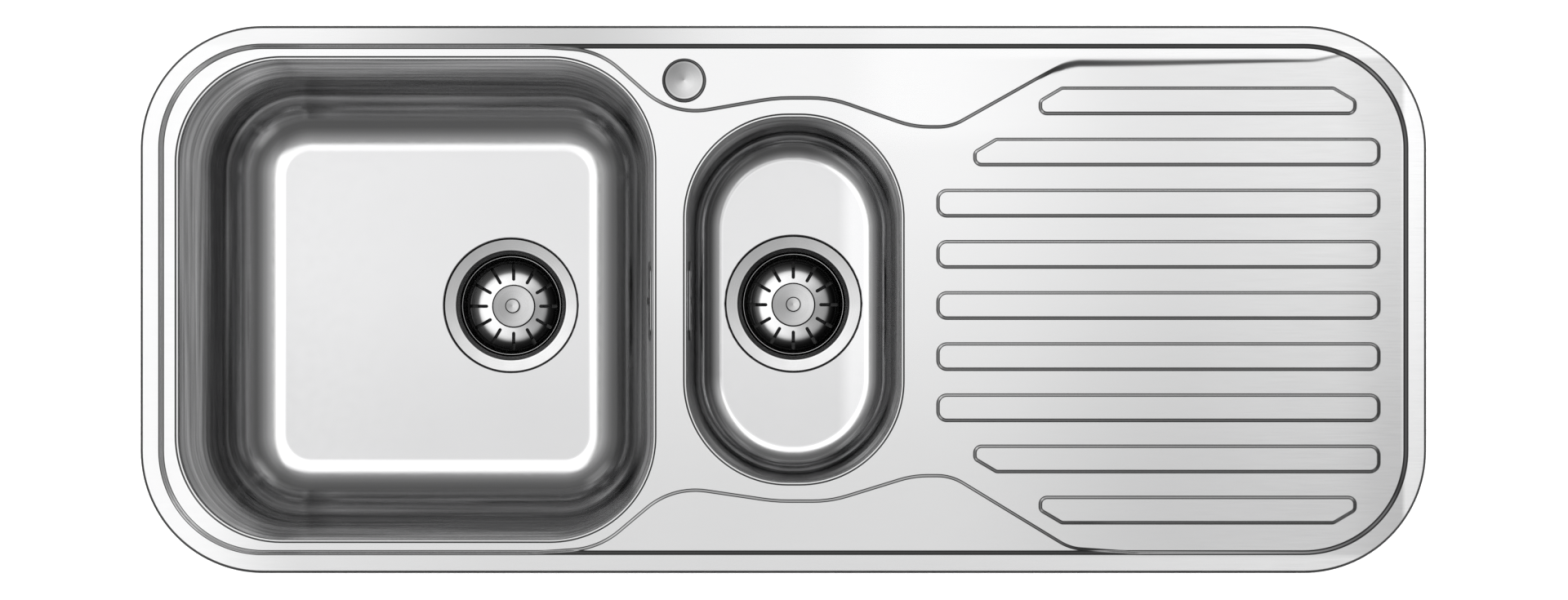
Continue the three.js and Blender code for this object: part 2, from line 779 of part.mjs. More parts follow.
function basket() {
  const rim = -basketRimDrop;
  const depth = basketFloorDrop - basketRimDrop;
  let body = solid(turned([
    [stemHole, basketFloor], [basketRadius * 0.47, basketFloor],
    [basketRadius * 0.7, basketFloor + depth * 0.12], [basketRadius * 0.86, basketFloor + depth * 0.36],
    [basketRadius * 0.945, basketFloor + depth * 0.68], [basketRadius - sheet, rim],
    [basketRadius, rim], [basketRadius, rim - sheet],
    [basketRadius * 0.945 + sheet, basketFloor + depth * 0.66],
    [basketRadius * 0.86 + sheet * 0.8, basketFloor + depth * 0.36 - sheet * 0.6],
    [basketRadius * 0.7 + sheet * 0.4, basketFloor + depth * 0.12 - sheet],
    [basketRadius * 0.47, basketFloor - sheet], [stemHole, basketFloor - sheet],
  ], basketSides).rotateZ(Math.PI / basketSides));
  for (let k = 0; k < slotCount; k += 1) {
    const slot = box(slotInner, -slotWidth / 2, basketFloor - clear, slotOuter, slotWidth / 2, clear);
    body = body.subtract(solid(slot.rotateZ(2 * Math.PI * k / slotCount)));
  }
  return body;
}

function stopper() {
  const floor = -cupDepth + fitGap;
  return turned([
    [stemHole, stopperTop], [stopperRadius * 0.42, stopperTop], [stopperRadius * 0.6, stopperMiddle + 1],
    [stopperRadius - 1.5, floor + 3], [stopperRadius, floor + 1.8], [stopperRadius, floor],
    [stopperRadius * 0.88, floor], [stopperRadius * 0.8, floor + 1],
    [stopperRadius * 0.35, stopperMiddle], [stemHole, stopperMiddle],
  ], turnedSides);
}

function knob() {
  const capUnder = basketFloor + fitGap;
  const top = basketFloor + knobHeight;
  return turned([
    [0, top], [knobRadius * 0.78, top - 0.5], [knobRadius, top - 2], [knobRadius * 0.9, top - 4.5],
    [knobRadius * 0.6, top - 6.5], [knobRadius * 0.6, capUnder + 2.5],
    [basketCapRadius - 1, capUnder + 1.5], [basketCapRadius, capUnder + 0.7], [basketCapRadius, capUnder],
    [centreScrewRadius, capUnder], [centreScrewRadius, stopperMiddle - fitGap],
    [centreScrewRadius + 2, stopperMiddle - fitGap], [centreScrewRadius + 2, stopperMiddle - fitGap - 1.5],
    [0, stopperMiddle - fitGap - 1.5],
  ], turnedSides);
}

// Tap-hole cover, with z = 0 at the top of the ledge

function tapCover() {
  const low = tapSealThickness + 2 * fitGap;
  return turned([
    [0, low + tapCoverHeight], [tapCoverRadius * 0.55, low + tapCoverHeight * 0.85],
    [tapCoverRadius - 1, low + tapCoverHeight * 0.4], [tapCoverRadius, low],
    [tapStemRadius, low], [tapStemRadius, low - tapStemLength], [0, low - tapStemLength],
  ], basketSides);
}

function tapSeal() {
  const low = fitGap;
  const spigot = tapHole / 2 - fitGap;
  return turned([
    [tapStemRadius + fitGap, low + tapSealThickness], [tapSealRadius, low + tapSealThickness],
    [tapSealRadius, low], [spigot, low], [spigot, -sheet - 1.5], [spigot - 3, -sheet - 1.5],
    [spigot - 3, low - 0.4], [tapStemRadius + fitGap, low - 0.4],
  ], basketSides);
}

const tapBridgeTop = -sheet - fitGap;
const tapBridgeDeep = tapBridgeTop - tapBridgeFoot;
const tapBridgeUnder = tapBridgeDeep - tapBridgeThickness;

function tapBridge() {
  const half = tapBridgeLength / 2;
  const inner = half - tapBridgeFoot;
  const profile = [
    [-half, tapBridgeTop], [-half, tapBridgeUnder], [half, tapBridgeUnder], [half, tapBridgeTop],
    [inner, tapBridgeTop], [inner, tapBridgeDeep], [-inner, tapBridgeDeep], [-inner, tapBridgeTop],
  ];
  const body = solid(alongX(profile, -tapBridgeWidth / 2, tapBridgeWidth / 2).rotateZ(Math.PI / 2));
  return body.subtract(solid(cylinder(tapStemRadius + fitGap, -clear, clear, screwSides)));
}

function tapNut() {
  const top = tapBridgeUnder - fitGap;
  const body = solid(cylinder(tapNutRadius, top - tapNutHeight, top, screwSides));
  const wing = solid(box(-1.2, -tapNutRadius - 6, top - tapNutHeight - 4, 1.2, tapNutRadius + 6, top - 2));
  const bore = solid(cylinder(tapStemRadius + fitGap, -2 * clear, clear, screwSides));
  return body.add(wing).subtract(bore);
}

// Clips, with z = 0 at the underside of the deck, local x outwards under the worktop

const clipHole = clipScrewRadius + fitGap;
const lugTop = -clipDrop + clipPlateThickness;
const headTop = lugTop - clipScrewLength;

function clipBracket() {
  const half = clipPlateLength / 2;
  const thick = clipPlateThickness;
  const low = -fitGap - thick;
  const profile = [
    [-half, -fitGap], [-half, low], [half - thick, low], [half - thick, lugTop],
    [-half / 2, lugTop], [-half / 2, -clipDrop], [half, -clipDrop], [half, -fitGap],
  ];
  const body = solid(alongX(profile, -clipWidth / 2, clipWidth / 2));
  const hole = cylinder(clipHole, -clipDrop - buried, lugTop + buried, screwSides);
  return body.subtract(solid(hole));
}

function clipScrew() {
  const collar = lugTop + fitGap;
  return turned([
    [0, collar + 2], [clipScrewRadius + 1.6, collar + 2], [clipScrewRadius + 1.6, collar],
    [clipScrewRadius, collar],
    [clipScrewRadius, headTop], [clipHeadRadius, headTop], [clipHeadRadius, headTop - clipHeadHeight],
    [0, headTop - clipHeadHeight],
  ], screwSides);
}

function clipJaw() {
  const low = headTop + fitGap;
  const high = low + clipJawThickness;
  const tail = clipHole + 3.7;
  const profile = [
    [tail, low], [-clipReach, low], [-clipReach, high + clipTip],
    [-clipReach + clipJawThickness, high + clipTip], [-clipReach + clipJawThickness, high], [tail, high],
  ];
  const body = solid(alongX(profile, -clipWidth / 2, clipWidth / 2));
  return body.subtract(solid(cylinder(clipHole, low - buried, high + buried, screwSides)));
}

function clipSites() {
  const sideY = deckDepth / 2 - rimInner;
  const sideX = deckLength / 2 - rimInner;
  const drainerX = (drainerStart + drainerEnd) / 2;
  const flat = recessHeight - sheet;
  const ledge = ledgeHeight - sheet;
  const falling = (x) => drainerLevel(x - clipPlateLength / 2) - sheet;
  return [
    { x: mainX, y: sideY, turn: 90, under: flat },
    { x: halfX, y: sideY, turn: 90, under: ledge },
    { x: drainerX, y: sideY, turn: 90, under: ledge },
    { x: mainX, y: -sideY, turn: -90, under: flat },
    { x: halfX, y: -sideY, turn: -90, under: ledge },
    { x: drainerX, y: -sideY, turn: -90, under: falling(drainerX) },
    { x: -sideX, y: 0, turn: 180, under: flat },
    { x: sideX, y: 0, turn: 0, under: falling(sideX) },
  ];
}

// Rim seal and sound pads

function rimSeal() {
  const low = fitGap;
  const high = rimHeight - sheet - fitGap;
  return loft([
    deckRing(sealFromEdge, low), deckRing(sealFromEdge, high),
    deckRing(sealFromEdge + sealWidth, high), deckRing(sealFromEdge + sealWidth, low),
  ], true);
}

function pad(x0, y0, x1, y1, underside) {
  const top = underside - fitGap;
  return plate(rectangle(x0, y0, x1, y1, padCorner, 4), top - padThickness, top);
}

function floorInset(taper, fillet, floor) {
  return wallInset(taper, floor + fillet) + fillet + padMargin;
}

function mainPad() {
  const inset = floorInset(mainTaper, mainFillet, mainFloor);
  const y = mainLength / 2 - inset - mainPadSide;
  const right = mainDrainX - flangeRadius - padMargin;
  return pad(mainLeft + inset, -y, right, y, mainFloor - sheet);
}

function halfPad() {
  const inset = floorInset(halfTaper, halfFillet, halfFloor);
  const x = halfWidth / 2 - inset - halfPadSide;
  return pad(halfX - x, flangeRadius + padMargin, halfX + x, halfLength / 2 - inset, halfFloor - sheet);
}

function drainerPad() {
  const y = deckDepth / 2 - drainerPadSide;
  const flat = pad(drainerStart + drainerPadMargin, -y, drainerEnd - drainerPadMargin, y, recessHeight - sheet);
  return tilted(flat);
}

// Materials

function material(color, roughness, metalness) {
  return new THREE.MeshStandardMaterial({ color, roughness, metalness });
}

const satinSteel = material(0xd6d7d8, 0.32, 1);
const bowlSteel = material(0xbfc0c2, 0.26, 1);
const spunSteel = material(0xc9cacc, 0.22, 1);
const zincSteel = material(0xaeb2b5, 0.4, 1);
const rubber = material(0x1b1b1c, 0.85, 0);
const greyPlastic = material(0xd9dadb, 0.5, 0);
const soundPad = material(0x3a3b3d, 0.95, 0);

// Assembly

const sink = new THREE.Group();

function place(parent, name, geometry, finish) {
  const mesh = new THREE.Mesh(geometry, finish.clone());
  mesh.name = name;
  parent.add(mesh);
}

function group(x, y, z, turn = 0) {
  const holder = new THREE.Group();
  holder.position.set(x, y, z);
  holder.rotation.z = THREE.MathUtils.degToRad(turn);
  sink.add(holder);
  return holder;
}

const mainShell = bowlBody(mainOpening, mainFloor, mainTaper, mainFillet, mainDrainX);
const halfShell = bowlBody(halfOpening, halfFloor, halfTaper, halfFillet, halfX);
place(sink, 'deck', geometryOf(deckBody()), satinSteel);
place(sink, 'main_bowl', geometryOf(mainShell.subtract(overflowCut(mainWallFrame))), bowlSteel);
place(sink, 'half_bowl', geometryOf(halfShell.subtract(overflowCut(halfWallFrame))), bowlSteel);
place(sink, 'rim_seal', welded(rimSeal()), rubber);

place(sink, 'main_bowl_pad', mainPad(), soundPad);
place(sink, 'half_bowl_pad', halfPad(), soundPad);
place(sink, 'drainer_pad', drainerPad(), soundPad);

const tapPlace = group(tapX, tapY, ledgeHeight);
place(tapPlace, 'tap_hole_cover', welded(tapCover()), spunSteel);
place(tapPlace, 'tap_cover_seal', welded(tapSeal()), rubber);
place(tapPlace, 'tap_cover_bridge', geometryOf(tapBridge()), zincSteel);
place(tapPlace, 'tap_cover_nut', geometryOf(tapNut()), zincSteel);

for (const [bowl, x, floor] of [['main', mainDrainX, mainFloor], ['half', halfX, halfFloor]]) {
  const waste = group(x, 0, floor);
  place(waste, `${bowl}_strainer_cup`, geometryOf(strainerCup()), spunSteel);
  place(waste, `${bowl}_flange_seal`, welded(flangeSeal()), rubber);
  place(waste, `${bowl}_body_seal`, welded(bodySeal()), rubber);
  place(waste, `${bowl}_waste_body`, geometryOf(wasteBody(bowl === 'main')), greyPlastic);
  place(waste, `${bowl}_centre_screw`, welded(centreScrew()), spunSteel);
  place(waste, `${bowl}_basket`, geometryOf(basket()), spunSteel);
  place(waste, `${bowl}_basket_stopper`, welded(stopper()), rubber);
  place(waste, `${bowl}_basket_knob`, welded(knob()), spunSteel);
}

for (const [bowl, frame] of [['main', mainWallFrame], ['half', halfWallFrame]]) {
  const wall = new THREE.Group();
  frame.decompose(wall.position, wall.quaternion, wall.scale);
  sink.add(wall);
  place(wall, `${bowl}_overflow_seal`, geometryOf(overflowSeal()), rubber);
  place(wall, `${bowl}_overflow_plate`, geometryOf(overflowPlate()), spunSteel);
  place(wall, `${bowl}_overflow_screw`, welded(overflowScrew(bowlSpacing / 2)), spunSteel);
}
place(sink, 'overflow_housing', geometryOf(overflowHousing()), greyPlastic);
place(sink, 'overflow_pipe', welded(overflowPipe()), greyPlastic);
place(sink, 'overflow_pipe_nut', welded(overflowPipeNut()), greyPlastic);

clipSites().forEach((site, i) => {
  const clip = group(site.x, site.y, site.under, site.turn);
  place(clip, `clip_${i + 1}_bracket`, geometryOf(clipBracket()), zincSteel);
  place(clip, `clip_${i + 1}_screw`, welded(clipScrew()), zincSteel);
  place(clip, `clip_${i + 1}_jaw`, geometryOf(clipJaw()), zincSteel);
});

export default sink;
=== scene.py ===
import json
import math

import bmesh
import bpy
import numpy as np
from mathutils import Matrix, Vector
from mathutils.geometry import delaunay_2d_cdt


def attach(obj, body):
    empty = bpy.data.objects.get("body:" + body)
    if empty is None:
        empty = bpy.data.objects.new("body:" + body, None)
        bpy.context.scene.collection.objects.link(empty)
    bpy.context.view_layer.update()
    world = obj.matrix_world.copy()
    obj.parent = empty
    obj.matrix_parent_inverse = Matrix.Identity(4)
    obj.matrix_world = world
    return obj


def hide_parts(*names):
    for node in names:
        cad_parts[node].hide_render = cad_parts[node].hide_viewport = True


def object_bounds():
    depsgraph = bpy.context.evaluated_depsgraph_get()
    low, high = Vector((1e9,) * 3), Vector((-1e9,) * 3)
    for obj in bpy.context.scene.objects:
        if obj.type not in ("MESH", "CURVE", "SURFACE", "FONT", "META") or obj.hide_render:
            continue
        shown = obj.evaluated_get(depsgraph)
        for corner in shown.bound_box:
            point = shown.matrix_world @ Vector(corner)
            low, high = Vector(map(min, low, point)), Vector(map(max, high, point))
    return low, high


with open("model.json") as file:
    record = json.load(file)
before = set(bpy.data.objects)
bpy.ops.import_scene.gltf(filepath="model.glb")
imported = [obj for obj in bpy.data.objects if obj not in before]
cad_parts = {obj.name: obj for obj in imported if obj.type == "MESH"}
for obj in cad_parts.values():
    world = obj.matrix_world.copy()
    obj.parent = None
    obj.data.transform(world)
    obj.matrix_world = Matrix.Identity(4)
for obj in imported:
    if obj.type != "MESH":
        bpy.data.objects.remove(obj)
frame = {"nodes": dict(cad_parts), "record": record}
cad_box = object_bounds()

# Sizes in millimetres, as in the part, but for the shelf's slope and the baskets' slots, which are wider here
SHEET = 0.8
FIT = 0.3
LENGTH, DEPTH, CORNER = 1080, 460, 103
RIM_TOP, RIM_EDGE, RIM_BAND, RIM_STEP = 5.4, 2.4, 15, 4.5
LEDGE, RECESS, WALL = 3.4, 1.4, 3
LIP_RADIUS, LIP_BOTTOM = 3, -5.6
RIM_FOOT = RIM_BAND + RIM_STEP
MAIN_LEFT, MAIN_RIGHT, MAIN_LENGTH, MAIN_CORNER = -509, -109.5, 404, 87
MAIN_FLOOR, MAIN_TAPER, MAIN_FILLET = -173.6, 0.12, 51
HALF_LEFT, HALF_RIGHT, HALF_LENGTH, HALF_CORNER = -81.6, 99.2, 307.5, 85.5
HALF_FLOOR, HALF_TAPER, HALF_FILLET = -123.6, 0.05, 24.4
MAIN_DRAIN = (MAIN_LEFT + MAIN_RIGHT) / 2 + 65.25
HALF_DRAIN = (HALF_LEFT + HALF_RIGHT) / 2
DRAINER_START, DRAINER_END, DRAINER_FALL = HALF_RIGHT + 10.2, LENGTH / 2 - RIM_FOOT, 1.8
SLOPE = DRAINER_FALL / (DRAINER_END - DRAINER_START)
RIB_PITCH, RIB_WIDTH, RIB_RISE, RIB_COUNT, RIB_Y = 43, 24.3, 2, 9, -5
TAP_X, TAP_Y = HALF_LEFT - 1.75, 184
SEAT = 60.1
OVERFLOW_Z = RECESS - 42
SHELF_START, SHELF_WALL = 215, 8.5


# Outlines

def outline(corners, step=5.0):
    """A closed outline through corners [x, y, radius], with a point every step degrees."""
    points = []
    for i, (x, y, radius) in enumerate(corners):
        here = np.array([x, y], float)
        back = np.array(corners[i - 1][:2], float) - here
        ahead = np.array(corners[(i + 1) % len(corners)][:2], float) - here
        room = min(np.linalg.norm(back), np.linalg.norm(ahead)) / 2
        back /= np.linalg.norm(back)
        ahead /= np.linalg.norm(ahead)
        if radius == 0:
            points.append(here)
            continue
        half = math.acos(np.clip(back @ ahead, -1, 1)) / 2
        turn = math.pi - 2 * half
        run = min(radius / math.tan(half), room)
        fillet = run * math.tan(half)
        inward = (back + ahead) / np.linalg.norm(back + ahead)
        centre = here + inward * fillet / math.sin(half)
        first = here + back * run - centre
        side = math.copysign(1, ahead[0] * back[1] - ahead[1] * back[0])
        count = max(3, math.ceil(math.degrees(turn) / step))
        for k in range(count + 1):
            a = side * turn * k / count
            c, s = math.cos(a), math.sin(a)
            points.append(centre + np.array([first[0] * c - first[1] * s, first[0] * s + first[1] * c]))
    return np.array(points)


def rectangle(x0, y0, x1, y1, radius, step=5.0):
    return outline([(x0, y0, radius), (x1, y0, radius), (x1, y1, radius), (x0, y1, radius)], step)


def grown(points, distance):
    """The outline moved outwards, each corner along its own bisector."""
    into = points - np.roll(points, 1, axis=0)
    away = np.roll(points, -1, axis=0) - points
    into /= np.linalg.norm(into, axis=1)[:, None]
    away /= np.linalg.norm(away, axis=1)[:, None]
    first = np.stack([into[:, 1], -into[:, 0]], 1)
    second = np.stack([away[:, 1], -away[:, 0]], 1)
    scale = distance / (1 + (first * second).sum(1))
    return points + (first + second) * scale[:, None]


def divided(points, longest):
    """The outline with no side longer than this."""
    out = []
    for a, b in zip(points, np.roll(points, -1, axis=0)):
        count = max(1, math.ceil(np.linalg.norm(b - a) / longest))
        out += [a + (b - a) * k / count for k in range(count)]
    return np.array(out)


def deck_ring(inset):
    x, y = LENGTH / 2 - inset, DEPTH / 2 - inset
    return rectangle(-x, -y, x, y, CORNER - inset, 3)


def main_opening(out):
    y = MAIN_LENGTH / 2 + out
    return rectangle(MAIN_LEFT - out, -y, MAIN_RIGHT + out, y, MAIN_CORNER + out, 3)


def half_opening(out):
    y = HALF_LENGTH / 2 + out
    return rectangle(HALF_LEFT - out, -y, HALF_RIGHT + out, y, HALF_CORNER + out, 3)


def ledge_outline(side):
    line, deep = DEPTH / 2 - RIM_FOOT, DEPTH / 2 - RIM_BAND / 2
    waist = HALF_LENGTH / 2 + 17.25
    nose = HALF_LENGTH / 2 - 7.15 + (WALL if side < 0 else 0)
    far = DRAINER_START + 31 + 100
    if side > 0:
        tail = [(far, line - 7.6, 40), (LENGTH / 2 - 94, line - 7.6, 60), (LENGTH / 2 - 4, deep, 0)]
    else:
        tail = [(far, line, 40), (far + 45, line + WALL, 0), (far + 90, deep, 0)]
    corners = [
        (MAIN_RIGHT - 135, deep, 0), (MAIN_RIGHT - 90, line + WALL, 0), (MAIN_RIGHT - 45, line, 80),
        ((MAIN_RIGHT + HALF_LEFT) / 2 + WALL, HALF_LENGTH / 2 + (2.25 if side > 0 else 4.65), 62),
        (HALF_DRAIN - 15.5, waist, 150), (HALF_DRAIN + 31, waist, 100),
        (DRAINER_START, nose, 80), (DRAINER_START + 31, nose, 40), *tail,
    ]
    placed = [(x, side * y, r) for x, y, r in corners]
    return outline(placed if side > 0 else placed[::-1], 4)


def rib_outline(row):
    from_centre = row - (RIB_COUNT - 1) / 2
    y = RIB_Y - RIB_PITCH * from_centre
    half = RIB_WIDTH / 2 - WALL
    outer, second = row in (0, RIB_COUNT - 1), row in (1, RIB_COUNT - 2)
    start = HALF_RIGHT + 32.2 + (86 if outer else 31 if second else 0)
    end = LENGTH / 2 - 41.5 - (20 if outer else 0)
    far = half if from_centre < 0 else -half
    corners = [(start, y - far, 6), (end, y - far, 6)]
    corners += [(end, y - far * 0.1, 3), (end - 17, y + far, 3)] if outer else [(end, y + far, 6)]
    if outer or second:
        corners += [(start + 17, y + far, 3), (start, y - far * 0.1, 3)]
    else:
        corners += [(start, y + far, 6)]
    return outline(corners if far > 0 else corners[::-1], 10)


def inside_distance(points, polygon):
    """Distance to a closed polygon, positive inside it."""
    a, b = polygon, np.roll(polygon, -1, axis=0)
    ab = b - a
    length = (ab ** 2).sum(1)
    out = np.empty(len(points))
    for i in range(0, len(points), 4000):
        p = points[i:i + 4000, None, :]
        t = np.clip(((p - a) * ab).sum(2) / length, 0, 1)
        gap = np.sqrt((((p - a) - t[..., None] * ab) ** 2).sum(2)).min(1)
        crosses = (a[:, 1] > p[..., 1]) != (b[:, 1] > p[..., 1])
        rise = np.where(ab[:, 1] == 0, 1e-12, ab[:, 1])
        at = a[:, 0] + (p[..., 1] - a[:, 1]) / rise * ab[:, 0]
        within = (crosses & (p[..., 0] < at)).sum(1) % 2 == 1
        out[i:i + 4000] = np.where(within, gap, -gap)
    return out


def smooth(t):
    t = np.clip(t, 0, 1)
    return t * t * (3 - 2 * t)


def pressed(inside, wall=WALL):
    """Share of the rise at a distance inside the top outline: a steep wall between two soft bends."""
    soft = 0.8
    return 0.8 * smooth(1 + inside / wall) + 0.2 * smooth((inside + wall + soft) / (wall + 2 * soft))


LEDGES = [ledge_outline(1), ledge_outline(-1)]
RIBS = [rib_outline(row) for row in range(RIB_COUNT)]
RIM_OUTLINE = deck_ring(0)


def near(points, polygon, reach):
    low, high = polygon.min(0) - reach, polygon.max(0) + reach
    return ((points > low) & (points < high)).all(1)


def deck_height(points):
    """The top face's height over points of the plan."""
    x = points[:, 0]
    z = RECESS + SLOPE * np.maximum(x - DRAINER_START, 0)
    for polygon in LEDGES:
        here = near(points, polygon, SHELF_WALL + 1)
        along, back = points[here, 0], points[here, 1] > 0
        wider = (SHELF_WALL - WALL) * smooth((along - SHELF_START) / 30) - 4 * smooth((along - 270) / 180)
        wall = WALL + back * wider
        share = pressed(inside_distance(points[here], polygon), wall)
        z[here] += (LEDGE - z[here]) * share
    for polygon in RIBS:
        here = near(points, polygon, WALL + 1)
        z[here] += RIB_RISE * pressed(inside_distance(points[here], polygon))
    share = smooth((RIM_FOOT - inside_distance(points, RIM_OUTLINE)) / RIM_STEP)
    return z + (RIM_TOP - z) * share


# Meshes

def mesh_object(name, verts, faces, place=(0, 0, 0), normals=None, turn=None):
    mesh = bpy.data.meshes.new(name)
    mesh.from_pydata((np.asarray(verts, float) * 0.001).tolist(), [], [list(f) for f in faces])
    mesh.validate()
    mesh.polygons.foreach_set("use_smooth", [True] * len(mesh.polygons))
    if normals is not None:
        mesh.normals_split_custom_set_from_vertices([tuple(n) for n in normals])
    piece = bpy.data.objects.new(name, mesh)
    bpy.context.scene.collection.objects.link(piece)
    matrix = Matrix.Translation(Vector(place) * 0.001)
    piece.matrix_world = matrix @ turn.to_4x4() if turn is not None else matrix
    return piece


def crisp(piece, degrees=32):
    """Marks every edge sharper than an angle, so that the rest shades smooth."""
    bm = bmesh.new()
    bm.from_mesh(piece.data)
    bmesh.ops.remove_doubles(bm, verts=bm.verts, dist=1e-6)
    bmesh.ops.recalc_face_normals(bm, faces=bm.faces)
    limit = math.radians(degrees)
    for edge in bm.edges:
        edge.smooth = len(edge.link_faces) == 2 and edge.calc_face_angle(0) < limit
    for face in bm.faces:
        face.smooth = True
    bm.to_mesh(piece.data)
    bm.free()
    modifier = piece.modifiers.new("shading", "WEIGHTED_NORMAL")
    modifier.keep_sharp = True
    bpy.context.view_layer.update()
    return applied(piece)


def applied(piece):
    """Bakes the modifiers of a piece into its mesh."""
    graph = bpy.context.evaluated_depsgraph_get()
    mesh = bpy.data.meshes.new_from_object(piece.evaluated_get(graph))
    piece.modifiers.clear()
    piece.data = mesh
    return piece


def bevelled(piece, width):
    """Rounds the edges of a piece by a width in mm."""
    modifier = piece.modifiers.new("edges", "BEVEL")
    modifier.width = width * 0.001
    modifier.segments = 3
    modifier.limit_method = "ANGLE"
    modifier.angle_limit = math.radians(35)
    modifier.harden_normals = False
    return crisp(applied(piece), 50)


def cut(piece, cutters):
    """Takes the cutters out of a piece and out of the scene."""
    for cutter in cutters:
        modifier = piece.modifiers.new("cut", "BOOLEAN")
        modifier.operation = "DIFFERENCE"
        modifier.solver = "EXACT"
        modifier.object = cutter
    bpy.context.view_layer.update()
    applied(piece)
    for cutter in cutters:
        bpy.data.objects.remove(cutter)
    return piece


def skin(count, rings, closed=False):
    """Faces between rings of equal counts, and from the last to the first where closed."""
    faces = []
    for r in range(rings if closed else rings - 1):
        low, high = r * count, (r + 1) % rings * count
        for i in range(count):
            j = (i + 1) % count
            faces.append((low + i, low + j, high + j, high + i))
    return faces


def turned(name, profile, place, sides=96, turn=None):
    """A body turned about Z from a profile [radius, z] that starts and ends on the axis or closes on itself."""
    verts, faces, rings = [], [], []
    for radius, z in profile:
        if radius == 0:
            rings.append([len(verts)])
            verts.append((0, 0, z))
        else:
            rings.append(list(range(len(verts), len(verts) + sides)))
            for k in range(sides):
                a = 2 * math.pi * k / sides
                verts.append((radius * math.cos(a), radius * math.sin(a), z))
    pairs = list(zip(rings, rings[1:]))
    if profile[0][0] != 0:
        pairs.append((rings[-1], rings[0]))
    for low, high in pairs:
        for i in range(sides):
            j = (i + 1) % sides
            if len(low) == 1 and len(high) == 1:
                break
            if len(low) == 1:
                faces.append((low[0], high[i], high[j]))
            elif len(high) == 1:
                faces.append((low[i], low[j], high[0]))
            else:
                faces.append((low[i], low[j], high[j], high[i]))
    return crisp(mesh_object(name, verts, faces, place, turn=turn))


def rounded(profile, radius=0.4):
    """The same profile with its corners rounded off, apart from those on the axis."""
    out, steps = [], 3
    last = len(profile) - 1
    loop = profile[0][0] != 0
    for i, (r, z) in enumerate(profile):
        here = np.array([r, z], float)
        if r == 0 or (not loop and i in (0, last)):
            out.append((r, z))
            continue
        before = np.array(profile[i - 1], float) - here
        after = np.array(profile[(i + 1) % len(profile)], float) - here
        room = min(np.linalg.norm(before), np.linalg.norm(after)) / 2.2
        cosine = before @ after / np.linalg.norm(before) / np.linalg.norm(after)
        half = math.acos(np.clip(cosine, -1, 1)) / 2
        if half > math.radians(80):
            out.append((r, z))
            continue
        run = min(radius / math.tan(half), room)
        a = here + before / np.linalg.norm(before) * run
        b = here + after / np.linalg.norm(after) * run
        for k in range(steps + 1):
            t = k / steps
            out.append(tuple((1 - t) ** 2 * a + 2 * t * (1 - t) * here + t * t * b))
    return out


# Materials

def material(name):
    made = bpy.data.materials.new(name)
    made.use_nodes = True
    return made, made.node_tree.nodes, made.node_tree.links, made.node_tree.nodes["Principled BSDF"]


def noise(nodes, links, vector, scale, detail=4, stretch=(1, 1, 1)):
    mapping = nodes.new("ShaderNodeMapping")
    mapping.inputs["Scale"].default_value = stretch
    links.new(vector, mapping.inputs["Vector"])
    texture = nodes.new("ShaderNodeTexNoise")
    texture.inputs["Scale"].default_value = scale
    texture.inputs["Detail"].default_value = detail
    links.new(mapping.outputs["Vector"], texture.inputs["Vector"])
    return texture.outputs["Fac"]


def spread(nodes, links, value, low, high, start=0.3, end=0.7):
    span = nodes.new("ShaderNodeMapRange")
    for name, number in (("From Min", start), ("From Max", end), ("To Min", low), ("To Max", high)):
        span.inputs[name].default_value = number
    links.new(value, span.inputs["Value"])
    return span.outputs["Result"]


def calc(nodes, links, operation, *values):
    """One arithmetic node, fed by numbers or by other nodes' outputs."""
    node = nodes.new("ShaderNodeMath")
    node.operation = operation
    for socket, value in zip(node.inputs, values):
        if isinstance(value, (int, float)):
            socket.default_value = value
        else:
            links.new(value, socket)
    return node.outputs["Value"]


def band(nodes, links, value, start, full):
    """Rises smoothly from 0 to 1 between two values."""
    span = nodes.new("ShaderNodeMapRange")
    span.interpolation_type = "SMOOTHSTEP"
    span.inputs["From Min"].default_value = start
    span.inputs["From Max"].default_value = full
    links.new(value, span.inputs["Value"])
    return span.outputs["Result"]


def tint(nodes, links, value, low, high):
    """A noise value as a shift between two colours."""
    ramp = nodes.new("ShaderNodeValToRGB")
    ramp.color_ramp.elements[0].position = 0.3
    ramp.color_ramp.elements[1].position = 0.7
    ramp.color_ramp.elements[0].color = (*low, 1)
    ramp.color_ramp.elements[1].color = (*high, 1)
    links.new(value, ramp.inputs["Fac"])
    return ramp.outputs["Color"]


def greys(nodes, links, value, stops, cool=1.004):
    """A ramp through grey levels [position, level], slightly cool as steel is."""
    ramp = nodes.new("ShaderNodeValToRGB")
    points = ramp.color_ramp.elements
    points[0].position, points[1].position = stops[0][0], stops[-1][0]
    for spot, _ in stops[1:-1]:
        points.new(spot)
    for point, (_, level) in zip(points, stops):
        point.color = (level, level, level * cool, 1)
    links.new(value, ramp.inputs["Fac"])
    return ramp.outputs["Color"]


def multiplied(nodes, links, first, second):
    mixed = nodes.new("ShaderNodeMix")
    mixed.data_type = "RGBA"
    mixed.blend_type = "MULTIPLY"
    mixed.inputs["Factor"].default_value = 1
    links.new(first, mixed.inputs["A"])
    links.new(second, mixed.inputs["B"])
    return mixed.outputs["Result"]


def bump(nodes, links, height, shader, strength, distance=0.0002, after=None):
    node = nodes.new("ShaderNodeBump")
    node.inputs["Strength"].default_value = strength
    node.inputs["Distance"].default_value = distance
    links.new(height, node.inputs["Height"])
    if after is not None:
        links.new(after, node.inputs["Normal"])
    links.new(node.outputs["Normal"], shader.inputs["Normal"])
    return node.outputs["Normal"]


def place_of(nodes):
    return nodes.new("ShaderNodeTexCoord").outputs["Object"]


